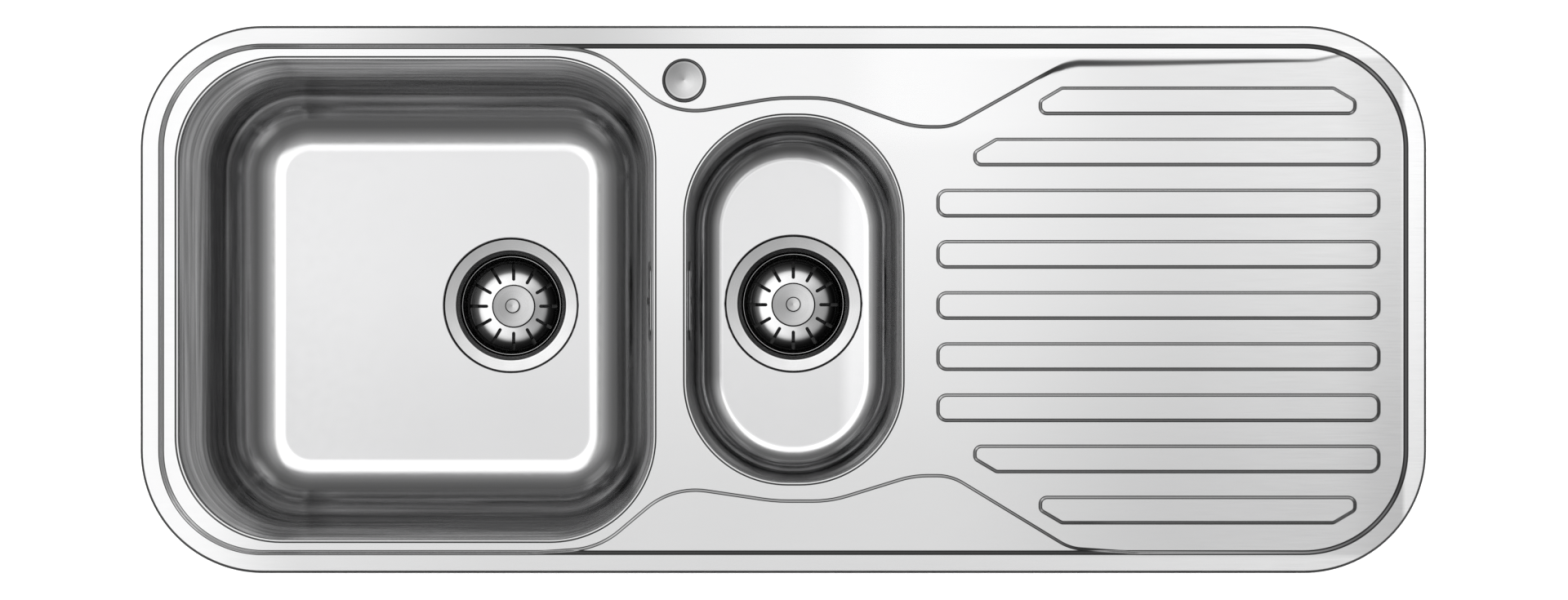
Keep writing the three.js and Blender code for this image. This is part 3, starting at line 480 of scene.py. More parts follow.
# Painted shade by the upright part of a normal, darkening steel where it bends: pressed creases, and the softer bends
# of a drawn bowl.
CREASE_SHADE = [(0.0, 0.8), (0.707, 0.8), (0.742, 0.78), (0.806, 0.42), (0.851, 0.18), (0.922, 0.11), (0.954, 0.15),
           (0.975, 0.25), (0.987, 0.5), (0.996, 0.85), (0.9995, 1)]
DRAWN_BEND_SHADE = [(0.0, 0.8), (0.707, 0.8), (0.742, 0.78), (0.806, 0.5), (0.851, 0.33), (0.9, 0.32), (0.93, 0.42),
         (0.954, 0.62), (0.975, 0.9), (0.987, 1)]
GROOVE_SCALE = 2600  # the turning marks of spun steel
AWAY = (1, 2)  # limits in metres that lie outside the sink, for a zone that a bowl doesn't have


def painted_slope_shade(nodes, links, stops=CREASE_SHADE):
    """Painted shade: steel darkens where it bends away from flat; stops give its tone by the upright part of its
    normal.
    """
    apart = nodes.new("ShaderNodeSeparateXYZ")
    links.new(nodes.new("ShaderNodeTexCoord").outputs["Normal"], apart.inputs["Vector"])
    level = calc(nodes, links, "ABSOLUTE", apart.outputs["Z"])
    return greys(nodes, links, level, stops, 1)


def outward(nodes, links, place, centre):
    """How far the surface looks away from a point in metres, which tells a shell's outside from its inside."""
    away = nodes.new("ShaderNodeVectorMath")
    away.operation = "SUBTRACT"
    away.inputs[1].default_value = centre
    links.new(place, away.inputs[0])
    along = nodes.new("ShaderNodeVectorMath")
    along.operation = "DOT_PRODUCT"
    links.new(away.outputs["Vector"], along.inputs[0])
    links.new(nodes.new("ShaderNodeTexCoord").outputs["Normal"], along.inputs[1])
    return along.outputs["Value"]


def satin_steel():
    """Brushed along the deck, with painted shade to the front, over the drainboard, on the back rim, at the lip bends
    and at its bends, and small painted highlights at the right rim and at the back.
    """
    made, nodes, links, shader = material("satin_steel")
    place = place_of(nodes)
    grain = noise(nodes, links, place, 900, 3, (0.04, 1, 1))
    cloud = noise(nodes, links, place, 7, 2)
    apart = nodes.new("ShaderNodeSeparateXYZ")
    links.new(place, apart.inputs["Vector"])
    x, y = apart.outputs["X"], apart.outputs["Y"]

    def zone(depth, *bands):
        value = depth
        for source, start, full in bands:
            value = calc(nodes, links, "MULTIPLY", band(nodes, links, source, start, full), value)
        return value

    inner = [(x, 0.523, 0.518), (y, 0.206, 0.2), (y, -0.218, -0.212)]
    # Painted shade: darker to the front, over the drainboard, towards the right end, on the back rim and at the lip
    # bends; the two negative depths are painted highlights at the right rim and at the back.
    painted_shade_zones = [zone(0.21, (y, 0.15, -0.2), (x, -0.5, -0.4)), zone(0.155, (x, 0.11, 0.36), *inner),
             zone(0.08, (x, 0.46, 0.515), *inner), zone(0.26, (y, 0.21, 0.216), (x, -0.42, -0.2), (x, -0.02, -0.18)),
             zone(0.05, (y, 0.21, 0.216)), zone(-0.05, (x, 0.518, 0.523)),
             zone(-0.05, (y, 0.12, 0.15), (x, 0.04, 0.1), (x, 0.3, 0.2)),
             zone(0.6, (apart.outputs["Z"], 0.0013, 0.0011), (apart.outputs["Z"], 0.0002, 0.0004))]
    total = 0.06
    for drop in painted_shade_zones:
        total = calc(nodes, links, "ADD", total, drop)
    shader.inputs["Metallic"].default_value = 1
    tone = greys(nodes, links, total, [(0, 0.86), (0.06, 0.80), (0.56, 0.40), (1, 0.12)])
    # The deck's tone times painted shade at its bends.
    base = multiplied(nodes, links, multiplied(nodes, links, tone, painted_slope_shade(nodes, links)),
                      tint(nodes, links, cloud, (0.985,) * 3, (1, 1, 1)))
    links.new(base, shader.inputs["Base Color"])
    links.new(spread(nodes, links, grain, 0.12, 0.18), shader.inputs["Roughness"])
    bump(nodes, links, grain, shader, 0.06, 0.0001)
    return made


def edge_steel():
    """The rolled edge, with painted shade: darkest over its upper part and paler again towards its cut foot."""
    made, nodes, links, shader = material("edge_steel")
    place = place_of(nodes)
    grain = noise(nodes, links, place, 500, 3, (0.2, 0.2, 1))
    apart = nodes.new("ShaderNodeSeparateXYZ")
    links.new(place, apart.inputs["Vector"])
    # Painted shade by height over the rolled edge.
    fall = spread(nodes, links, apart.outputs["Z"], 0, 1, RIM_TOP * 0.001, 0)
    painted_edge_shade = greys(nodes, links, fall, [(0, 0.4), (0.02, 0.12), (0.2, 0.06), (0.42, 0.1), (0.6, 0.5), (1, 0.45)])
    tone = multiplied(nodes, links, painted_edge_shade, tint(nodes, links, grain, (0.85,) * 3, (1, 1, 1)))
    shader.inputs["Metallic"].default_value = 1
    links.new(tone, shader.inputs["Base Color"])
    links.new(spread(nodes, links, grain, 0.22, 0.34), shader.inputs["Roughness"])
    bump(nodes, links, grain, shader, 0.2, 0.0001)
    return made


def bowl_steel(name, middle, floor, dim, lit, end, glow, highlight_limits, foot_tones, lips):
    """Drawn walls, a bend at their foot and a satin floor, told apart by height: painted highlight on the bend, painted
    shade above.

    Limits are in metres, from where a zone starts to where it is full: dim darkens a side wall by x with painted shade
    and lit dulls one, end dulls the end walls, glow brightens by x with painted light, and the highlight limits (by x,
    by y) mark where the bend gets a painted highlight. foot_tones are the tones of the bend outside and inside that
    zone, painted shade and painted highlight, and lips how dull the upper wall is in front and how much more behind.
    """
    made, nodes, links, shader = material(name)
    place = place_of(nodes)
    drawn = noise(nodes, links, place, 120, 3, (0.05, 0.05, 1))
    fine = noise(nodes, links, place, 1100, 2, (0.1, 0.1, 1))
    cloud = noise(nodes, links, place, 14, 3)
    apart = nodes.new("ShaderNodeSeparateXYZ")
    links.new(place, apart.inputs["Vector"])
    x, y, z = (apart.outputs[axis] for axis in "XYZ")

    def zone(value, *limits):
        return band(nodes, links, value, *limits)

    def times(first, second):
        return calc(nodes, links, "MULTIPLY", first, second)

    def rest_of(value):
        return calc(nodes, links, "SUBTRACT", 1, value)

    def toned(shade, part, tone):
        """Shade times a tone where part is 1."""
        return multiplied(nodes, links, shade, greys(nodes, links, part, [(0, 1), (1, tone)], 1))

    low = spread(nodes, links, z, 0, 1, floor * 0.001, (floor + 20) * 0.001)
    # Painted highlight on the bend at the wall's foot and painted shade on the wall above, which the next ramp makes
    # paler towards the top.
    bend = greys(nodes, links, low, [(0, 0.70), (0.004, 0.80), (0.012, 0.97), (0.09, 0.97), (0.4, 0.76), (1, 0.50)])
    high = spread(nodes, links, z, 0, 1, (floor + 20) * 0.001, -0.006)
    wall = greys(nodes, links, high, [(0, 1), (0.3, 0.9), (0.46, 1.1), (0.62, 1.9), (1, 2.0)])
    above = zone(z, (floor + 12) * 0.001, (floor + 34) * 0.001)
    outside = zone(outward(nodes, links, place, (middle * 0.001, 0, floor * 0.0005)), 0, 0.01)
    highlight_zone = calc(nodes, links, "MAXIMUM", zone(x, *highlight_limits[0]), zone(y, *highlight_limits[1]))
    foot = times(zone(low, 0.001, 0.006), zone(low, 0.45, 0.2))

    # Painted shade towards the front and on one side wall by dim, painted light where glow is.
    shade = greys(nodes, links, zone(y, 0.04, -0.13), [(0, 1), (1, 0.91)], 1)
    shade = toned(shade, times(zone(x, *dim), zone(z, (floor + 14) * 0.001, (floor + 30) * 0.001)), 0.62)
    shade = toned(shade, zone(x, *glow), 1.22)
    streak = times(calc(nodes, links, "SUBTRACT", drawn, 0.5),
                   times(above, calc(nodes, links, "MULTIPLY_ADD", outside, -0.85, 1)))
    shade = multiplied(nodes, links, shade, calc(nodes, links, "MULTIPLY_ADD", streak, 3.0, 1.0))
    # Painted shade where the steel bends.
    shade = multiplied(nodes, links, shade, painted_slope_shade(nodes, links, DRAWN_BEND_SHADE))
    shade = toned(shade, outside, 0.42)
    # Painted shade on the foot's bend outside the highlight zone, painted highlight inside it.
    for part, tone in zip((times(foot, rest_of(highlight_zone)), times(foot, highlight_zone)), foot_tones):
        shade = toned(shade, part, tone)
    tone = multiplied(nodes, links, multiplied(nodes, links, bend, wall),
                      multiplied(nodes, links, shade, tint(nodes, links, cloud, (0.985,) * 3, (1, 1, 1))))

    satin = times(zone(z, -0.075, -0.035), calc(nodes, links, "MULTIPLY_ADD", zone(y, -0.12, 0.12), lips[1], lips[0]))
    for part, level in ((times(zone(x, *lit), above), 0.75),
                        (times(zone(calc(nodes, links, "ABSOLUTE", y), *end), above), 0.16)):
        satin = calc(nodes, links, "MAXIMUM", satin, times(part, level))
    links.new(rest_of(times(satin, rest_of(outside))), shader.inputs["Metallic"])
    links.new(tone, shader.inputs["Base Color"])
    links.new(spread(nodes, links, fine, 0.12, 0.18), shader.inputs["Roughness"])
    first = bump(nodes, links, drawn, shader, 0.8, 0.0002)
    bump(nodes, links, fine, shader, 0.05, 0.00005, first)
    return made


def spun_steel(name, stops, rough=(0.18, 0.26), toward=-45, side=(0.8, 1.1), shift=0, outside=False):
    """Turned steel, its stops giving painted shade and highlight by height in mm above the bowl floor, with painted
    light that makes it paler towards one side.

    Toward is that side in degrees, shift tilts the stops towards it, and outside gives a shell's outer face the last
    stop's tone.
    """
    made, nodes, links, shader = material(name)
    place = place_of(nodes)
    apart = nodes.new("ShaderNodeSeparateXYZ")
    links.new(place, apart.inputs["Vector"])
    flat = nodes.new("ShaderNodeCombineXYZ")
    links.new(apart.outputs["X"], flat.inputs["X"])
    links.new(apart.outputs["Y"], flat.inputs["Y"])
    radius = nodes.new("ShaderNodeVectorMath")
    radius.operation = "LENGTH"
    links.new(flat.outputs["Vector"], radius.inputs[0])
    along = nodes.new("ShaderNodeCombineXYZ")
    links.new(radius.outputs["Value"], along.inputs["X"])
    links.new(apart.outputs["Z"], along.inputs["Y"])
    grooves = noise(nodes, links, along.outputs["Vector"], GROOVE_SCALE, 2)
    cloud = noise(nodes, links, place, 60, 2)
    shader.inputs["Metallic"].default_value = 1
    shader.inputs["Anisotropic"].default_value = 0.75
    tangent = nodes.new("ShaderNodeTangent")
    tangent.direction_type = "RADIAL"
    tangent.axis = "Z"
    links.new(tangent.outputs["Tangent"], shader.inputs["Tangent"])
    low, high = stops[0][0], stops[-1][0]
    turn = math.radians(toward)
    across = calc(nodes, links, "ADD", calc(nodes, links, "MULTIPLY", apart.outputs["X"], math.cos(turn)),
                  calc(nodes, links, "MULTIPLY", apart.outputs["Y"], math.sin(turn)))
    facing = calc(nodes, links, "DIVIDE", across, calc(nodes, links, "MAXIMUM", radius.outputs["Value"], 0.0005))
    rise = spread(nodes, links, apart.outputs["Z"], 0, 1, low * 0.001, high * 0.001)
    rise = calc(nodes, links, "MULTIPLY_ADD", facing, shift, rise)
    if outside:
        shell = calc(nodes, links, "DIVIDE", outward(nodes, links, flat.outputs["Vector"], (0, 0, 0)),
                     calc(nodes, links, "MAXIMUM", radius.outputs["Value"], 0.0005))
        rise = calc(nodes, links, "MAXIMUM", rise, band(nodes, links, shell, 0.6, 0.85))
    # Painted shade and highlight by height, and painted light towards one side.
    tones = greys(nodes, links, rise, [((z - low) / (high - low), level) for z, level in stops])
    painted_side_light = greys(nodes, links, spread(nodes, links, facing, 0, 1, -1, 1),
                  [(0, side[0]), (0.5, sum(side) / 2), (1, side[1])], 1)
    tones = multiplied(nodes, links, tones, painted_slope_shade(nodes, links))
    links.new(multiplied(nodes, links, multiplied(nodes, links, tones, painted_side_light),
                         tint(nodes, links, cloud, (0.94,) * 3, (1, 1, 1))), shader.inputs["Base Color"])
    links.new(spread(nodes, links, grooves, *rough), shader.inputs["Roughness"])
    bump(nodes, links, grooves, shader, 0.12, 0.00005)
    return made


def zinc_steel():
    made, nodes, links, shader = material("zinc_steel")
    place = place_of(nodes)
    cloud = noise(nodes, links, place, 240, 5)
    patches = noise(nodes, links, place, 60, 2)
    shader.inputs["Metallic"].default_value = 1
    links.new(tint(nodes, links, patches, (0.56, 0.60, 0.63), (0.72, 0.73, 0.72)), shader.inputs["Base Color"])
    links.new(spread(nodes, links, cloud, 0.30, 0.48), shader.inputs["Roughness"])
    bump(nodes, links, cloud, shader, 0.12, 0.0002)
    return made


def dull(name, dark, light, rough, scale, depth, strength=0.3):
    made, nodes, links, shader = material(name)
    place = place_of(nodes)
    grain = noise(nodes, links, place, scale, 5)
    cloud = noise(nodes, links, place, scale / 20, 3)
    links.new(tint(nodes, links, cloud, dark, light), shader.inputs["Base Color"])
    links.new(spread(nodes, links, grain, *rough), shader.inputs["Roughness"])
    bump(nodes, links, grain, shader, strength, depth)
    return made


SATIN = satin_steel()
BOWL = {
    "main": bowl_steel("main_bowl_steel", (MAIN_LEFT + MAIN_RIGHT) / 2, MAIN_FLOOR, dim=(-0.45, -0.47),
                       lit=(-0.134, -0.12), end=(0.16, 0.18), glow=AWAY, highlight_limits=(AWAY, (0.15, 0.12)),
                       foot_tones=(0.95, 1.35), lips=(0.16, -0.04)),
    "half": bowl_steel("half_bowl_steel", (HALF_LEFT + HALF_RIGHT) / 2, HALF_FLOOR, dim=(-0.10, -0.09),
                       lit=(0.089, 0.094), end=AWAY, glow=(0.046, 0.062), highlight_limits=((0.02, 0.05), (-0.06, -0.09)),
                       foot_tones=(0.66, 1.25), lips=(0.04, 0.18)),
}
# Painted light on the turned parts, paler towards one side; the cup is painted dark inside as painted shade, and the
# basket has painted highlight on its floor and painted shade up its sides.
SPUN = spun_steel("spun_steel", [(-10, 0.60), (10, 0.64)], toward=-5, side=(0.6, 1.2))
DISC = spun_steel("disc_steel", [(-10, 0.64), (10, 0.66)], side=(0.5, 1.15))
CUP = spun_steel("cup_steel", [(-44, 0.05), (-12, 0.06), (-6, 0.08), (-5, 0.55), (-2.4, 0.62), (-1.6, 0.70), (0, 0.70)],
                 toward=-60, side=(0.62, 1.3), outside=True)
BASKET = spun_steel("basket_steel", [(-31.5, 0.97), (-30.6, 0.97), (-29.6, 0.62), (-28.2, 0.28), (-25, 0.12), (-11, 0.10),
                                     (-8.4, 0.4), (-7, 0.9)],
                    (0.14, 0.22), toward=-15, side=(1.1, 0.5), shift=0.06, outside=True)
EDGE = edge_steel()
ZINC = zinc_steel()
RUBBER = dull("rubber", (0.018, 0.018, 0.019), (0.035, 0.035, 0.036), (0.55, 0.8), 1800, 0.0001)
PLASTIC = dull("grey_plastic", (0.74, 0.75, 0.76), (0.82, 0.83, 0.84), (0.38, 0.52), 1400, 0.0001, 0.15)
PAD = dull("sound_pad", (0.035, 0.035, 0.038), (0.07, 0.07, 0.074), (0.75, 0.98), 700, 0.0006, 0.6)
FINISH = {
    "satin_steel": SATIN, "bowl_steel": BOWL["main"], "spun_steel": SPUN, "zinc_steel": ZINC,
    "rubber": RUBBER, "grey_plastic": PLASTIC, "sound_pad": PAD,
}
for entry in frame["record"]["subparts"]:
    node = frame["nodes"][entry["node"]]
    for place in range(len(node.material_slots)):
        node.material_slots[place].material = FINISH[entry["material_slot"]]


def dressed(piece, slot, body, *nodes, finish=None):
    """Gives a piece its material, its body and the nodes that it stands for."""
    piece.data.materials.clear()
    piece.data.materials.append(finish or FINISH[slot])
    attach(piece, body)
    if nodes:
        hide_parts(*nodes)
    return piece


# Deck pressing

def polyline(points, start):
    count = len(points)
    return [(start + i, start + (i + 1) % count) for i in range(count)]


def deck_field():
    """The pressed top of the deck, triangulated along its own level lines."""
    lines = [divided(deck_ring(RIM_EDGE), 20)]
    lines += [divided(deck_ring(RIM_BAND + RIM_STEP * k / 8), 20) for k in range(9)]
    holes = [divided(main_opening(LIP_RADIUS), 15), divided(half_opening(LIP_RADIUS), 15)]
    lines += holes
    levels = [-0.8, -0.4, *(WALL * k / 8 for k in range(9)), WALL + 0.4, WALL + 0.8]
    for side, polygon in enumerate(LEDGES):
        lines += [grown(divided(polygon, 12), out) for out in levels + ([] if side else [4.8, 5.8, 7, 8.2, 9.3])]
    for polygon in RIBS:
        lines += [grown(divided(polygon, 25), out) for out in levels]
    points, edges = [], []
    for line in lines:
        edges += polyline(line, len(points))
        points += [Vector(p) for p in line]
    verts, _, faces, *_ = delaunay_2d_cdt(points, edges, [], 0, 1e-5)
    flat = np.array([tuple(v) for v in verts])
    faces = np.array([f for f in faces if len(f) == 3])
    middle = flat[faces].mean(1)
    kept = inside_distance(middle, lines[0]) > 0
    for hole in holes:
        kept &= inside_distance(middle, hole) < 0
    faces = faces[kept]
    a, b, c = (flat[faces[:, k]] for k in range(3))
    area = (b[:, 0] - a[:, 0]) * (c[:, 1] - a[:, 1]) - (b[:, 1] - a[:, 1]) * (c[:, 0] - a[:, 0])
    faces = faces[np.abs(area) > 1e-7]
    area = area[np.abs(area) > 1e-7]
    faces[area < 0] = faces[area < 0][:, ::-1]
    used, faces = np.unique(faces, return_inverse=True)
    faces = faces.reshape(-1, 3)
    flat = flat[used]
    height = deck_height(flat)
    step = 0.04
    east = deck_height(flat + [step, 0]) - deck_height(flat - [step, 0])
    north = deck_height(flat + [0, step]) - deck_height(flat - [0, step])
    normals = np.stack([-east / (2 * step), -north / (2 * step), np.ones(len(flat))], 1)
    normals /= np.linalg.norm(normals, axis=1)[:, None]
    return np.column_stack([flat, height]), faces, normals


def swept(rings):
    """Rings of a rolled edge: each is (outset, height, outward lean of the normal in degrees, base ring)."""
    verts, normals = [], []
    for points, height, lean in rings:
        away = grown(points, 1) - points
        away /= np.linalg.norm(away, axis=1)[:, None]
        a = math.radians(lean)
        verts.append(np.column_stack([points, np.full(len(points), height)]))
        normals.append(np.column_stack([away * math.sin(a), np.full(len(points), math.cos(a))]))
    return np.concatenate(verts), np.concatenate(normals)


def lip_profile():
    """The lip round a bowl: a tight bend, a narrow ground flat and a second bend down to the weld."""
    points, x, z = [], 0, RECESS
    for radius, first, last in ((1.3, 0, 75), (-0.35, 75, 3), (0, 3, 3), (0.5, 3, 90)):
        if radius == 0:
            x, z = x - 0.95, z - 0.05
            continue
        a0 = math.radians(first)
        for k in range(7):
            a = a0 + math.radians(last - first) * k / 6
            points.append((x - radius * (math.sin(a) - math.sin(a0)), z - radius * (math.cos(a0) - math.cos(a)),
                           math.degrees(a)))
        x, z = points[-1][:2]
    return points + [(x, LIP_BOTTOM, 90)]


def build_deck():
    """One pressing: its field above and below, the rolled rim, and the lips round the bowls."""
    verts, faces, normals = deck_field()
    parts = [(verts, faces, normals), (verts - normals * SHEET, faces[:, ::-1], -normals)]

    def roll(rings, flip=False, facing=1, foot=False):
        """Adds a rolled strip; facing -1 turns its normals round, and a foot looks straight down."""
        points, leans = swept(rings)
        quads = skin(len(rings[0][0]), len(rings))
        if foot:
            leans = np.tile([0, 0, -1.0], (len(points), 1))
        parts.append((points, [q[::-1] for q in quads] if flip else quads, facing * leans))

    base = divided(deck_ring(RIM_EDGE), 20)
    arc = [math.radians(7.5 * k) for k in range(13)]
    outer = [(grown(base, RIM_EDGE * math.sin(a)), RIM_TOP - RIM_EDGE * (1 - math.cos(a)), math.degrees(a)) for a in arc]
    inner_r = RIM_EDGE - SHEET
    inner = [(grown(base, inner_r * math.sin(a)), RIM_TOP - RIM_EDGE + inner_r * math.cos(a), math.degrees(a))
             for a in arc]
    foot_outer, foot_inner = grown(base, RIM_EDGE), grown(base, inner_r)
    roll(outer + [(foot_outer, 0, 90)], True)
    roll([(foot_outer, 0, 180), (foot_inner, 0, 180)], True, foot=True)
    roll(inner + [(foot_inner, 0, 90)], facing=-1)
    for opening in (main_opening, half_opening):
        base_hole = divided(opening(LIP_RADIUS), 15)
        reach = LIP_RADIUS - SHEET
        face = [(grown(base_hole, x), z, -lean) for x, z, lean in lip_profile()]
        back = [(grown(base_hole, -reach * math.sin(a)), RECESS - LIP_RADIUS + reach * math.cos(a), -math.degrees(a))
                for a in arc]
        back.append((grown(base_hole, -reach), LIP_BOTTOM, -90))
        roll(face)
        roll([(face[-1][0], LIP_BOTTOM, 180), (back[-1][0], LIP_BOTTOM, 180)], foot=True)
        roll(back, True, facing=-1)
    verts, faces, normals, start = [], [], [], 0
    for points, quads, leans in parts:
        verts.append(points)
        normals.append(leans)
        faces += [tuple(int(i) + start for i in quad) for quad in quads]
        start += len(points)
    piece = mesh_object("deck_pressing", np.concatenate(verts), faces, normals=np.concatenate(normals))
    dressed(piece, "satin_steel", "sink", "deck")
    piece.data.materials.append(EDGE)
    sizes = [len(quads) for _, quads, _ in parts]
    rolled = np.zeros(sum(sizes), int)
    rolled[sum(sizes[:2]):sum(sizes[:4])] = 1
    piece.data.polygons.foreach_set("material_index", rolled)


build_deck()


# Bowls

def wall_frame(wall_x, taper, side):
    """The overflow stands square to the sloping wall: local x points into the bowl."""
    tilt = math.atan(taper)
    across = Vector((side * math.cos(tilt), 0, math.sin(tilt)))
    up = Vector((-side * math.sin(tilt), 0, math.cos(tilt)))
    turn = Matrix((across, up.cross(across), up)).transposed()
    return (wall_x + side * taper * (LIP_BOTTOM - 2 - OVERFLOW_Z), 0, OVERFLOW_Z), turn


def oblong(length, height, steps=10):
    r, half = height / 2, length / 2 - height / 2
    right = [(half + r * math.cos(a), r * math.sin(a)) for a in np.linspace(-math.pi / 2, math.pi / 2, steps + 1)]
    return np.array(right + [(-x, -y) for x, y in right])


def oblong_bar(name, length, height, x0, x1, place, turn, shift=0):
    points = oblong(length, height)
    verts = [(x, p[0] + shift, p[1]) for x in (x0, x1) for p in points]
    count = len(points)
    faces = skin(count, 2) + [tuple(range(count))[::-1], tuple(range(count, 2 * count))]
    return mesh_object(name, verts, faces, place, turn=turn)


MAIN_WALL = wall_frame(MAIN_RIGHT, MAIN_TAPER, -1)
HALF_WALL = wall_frame(HALF_LEFT, HALF_TAPER, 1)


def build_bowl(name, opening, corner, floor, taper, fillet, drain, wall_place, corner_ease=0):
    """A shell of one sheet, from its collar in the deck's lip down to the seat of the strainer."""
    base = divided(opening(0), 12)
    tilt = math.atan(taper)
    inset = taper * (LIP_BOTTOM - 2 - floor - fillet) + fillet * (1 / math.cos(tilt) - 1)

    middle = (base.min(0) + base.max(0)) / 2
    half_sizes = (base.max(0) - base.min(0)) / 2

    def rect(out, z):
        """A ring of the wall, whose corners grow rounder towards the floor."""
        points = grown(base, out) - middle
        ease = corner_ease * smooth((LIP_BOTTOM - 8 - z) / (LIP_BOTTOM - 8 - floor))
        if ease:
            radius = min(corner + out + ease, half_sizes.min() + out - 0.5)
            centre = half_sizes + out - radius
            away = np.abs(points) - centre
            inside = (away > 0).all(1)
            away[inside] *= radius / np.linalg.norm(away[inside], axis=1)[:, None]
            points = np.where(inside[:, None], np.sign(points) * (centre + away), points)
        return np.column_stack([points + middle, np.full(len(base), z)])

    def side(thick):
        collar, top, low = SHEET + FIT + thick, RECESS - LIP_RADIUS - FIT, LIP_BOTTOM - FIT
        rows = [rect(collar, top), rect(collar, low - thick * taper)]
        rows += [rect(collar + (thick - collar) * smooth(k / 5), low - 1.7 * k / 5) for k in (1, 2, 3, 4)]
        reach = fillet + thick
        start = (thick, LIP_BOTTOM - 2)
        end = (reach * math.cos(tilt) - inset - fillet, floor + fillet - reach * math.sin(tilt))
        rows += [rect(start[0] + (end[0] - start[0]) * k / 10, start[1] + (end[1] - start[1]) * k / 10)
                 for k in range(10)]
        for k in range(21):
            a = tilt + (math.pi / 2 - tilt) * k / 20
            rows.append(rect(reach * math.cos(a) - inset - fillet, floor + fillet - reach * math.sin(a)))
        return rows

    inner, outer = side(0), side(SHEET)
    angle = np.arctan2(inner[-1][:, 1], inner[-1][:, 0] - drain)

    def circle(radius, z):
        return np.column_stack([drain + radius * np.cos(angle), radius * np.sin(angle), np.full(len(angle), z)])

    rows = list(inner)
    rows += [inner[-1] * (1 - t) + circle(SEAT + 1.2, floor) * t for t in (0.08, 0.3, 0.6, 0.9, 1)]
    rows += [circle(SEAT + 1 - math.sin(a), floor - 1 + math.cos(a)) for a in np.linspace(0, math.pi / 2, 6)]
    rows += [circle(SEAT, floor - 3.4), circle(SEAT - 0.2, floor - 3.8), circle(SEAT - 0.6, floor - 4)]
    rows += [circle(48, floor - 4), circle(48, floor - 4.8), circle(SEAT + 0.4, floor - 4.8),
             circle(SEAT + 0.8, floor - 4.4), circle(SEAT + 0.8, floor - SHEET)]
    rows += [outer[-1] * (1 - t) + circle(SEAT + 1, floor - SHEET) * t for t in (0.9, 0.5, 0.08)]
    rows += outer[::-1]
    piece = mesh_object(name, np.concatenate(rows), skin(len(base), len(rows), True))
    crisp(piece)
    place, turn = wall_place
    cut(piece, [oblong_bar("slot", 60, 12, -10, 10, place, turn)])
    return crisp(piece, 40)


dressed(build_bowl("main_bowl_shell", main_opening, MAIN_CORNER, MAIN_FLOOR, MAIN_TAPER, MAIN_FILLET, MAIN_DRAIN,
                   MAIN_WALL),
        "bowl_steel", "sink", "main_bowl")
dressed(build_bowl("half_bowl_shell", half_opening, HALF_CORNER, HALF_FLOOR, HALF_TAPER, HALF_FILLET, HALF_DRAIN,
                   HALF_WALL, corner_ease=13),
        "bowl_steel", "sink", "half_bowl", finish=BOWL["half"])

for bowl, (place, turn) in (("main", MAIN_WALL), ("half", HALF_WALL)):
    plate = oblong_bar(bowl + "_overflow_grille", 68, 20, FIT, FIT + 1, place, turn)
    cut(plate, [oblong_bar("slot", 10.5, 5.4, -5, 5, place, turn, shift) for shift in (-22.5, -7.5, 7.5, 22.5)])
    dressed(bevelled(plate, 0.3), "spun_steel", "sink", bowl + "_overflow_plate")
    stand = turn @ Matrix.Rotation(math.pi / 2, 3, "Y")
    head = FIT * 2 + 1
    screw = turned(bowl + "_overflow_stud", rounded([
        (0, head + 1.4), (2.2, head + 1.3), (3.9, head + 0.5), (3.9, head), (2, head), (2, -12.2), (0, -12.2),
    ], 0.6), place, 48, stand)
    dressed(screw, "spun_steel", "sink", bowl + "_overflow_screw")


# Strainers, tap-hole cover

def bars(name, place, count, inner, outer, width, low, high):
    """Upright bars with round ends set like spokes, as one cutter."""
    verts, faces = [], []
    shape = oblong(outer - inner, width, 6)
    for k in range(count):
        a = 2 * math.pi * k / count
        c, s = math.cos(a), math.sin(a)
        start, size = len(verts), len(shape)
        for z in (low, high):
            for x, y in shape:
                x += (inner + outer) / 2
                verts.append((x * c - y * s, x * s + y * c, z))
        faces += [tuple(i + start for i in f) for f in skin(size, 2)]
        faces += [tuple(range(start, start + size))[::-1], tuple(range(start + size, start + 2 * size))]
    return mesh_object(name, verts, faces, place)


def arc(cx, cz, rx, rz, start, end, steps):
    """Points on an ellipse, with angles in degrees from +r towards +z."""
    out = []
    for k in range(steps + 1):
        a = math.radians(start + (end - start) * k / steps)
        out.append((cx + rx * math.cos(a), cz + rz * math.sin(a)))
    return out


def dish(r0, z0, width, depth, steps):
    """Half of a dish with a flat floor and round shoulders, from its floor up to its rim."""
    out, squareness = [], 3.4
    for k in range(steps + 1):
        a = math.pi / 2 * k / steps
        out.append((r0 + width * math.sin(a) ** (2 / squareness), z0 - depth * math.cos(a) ** (2 / squareness)))
    return out


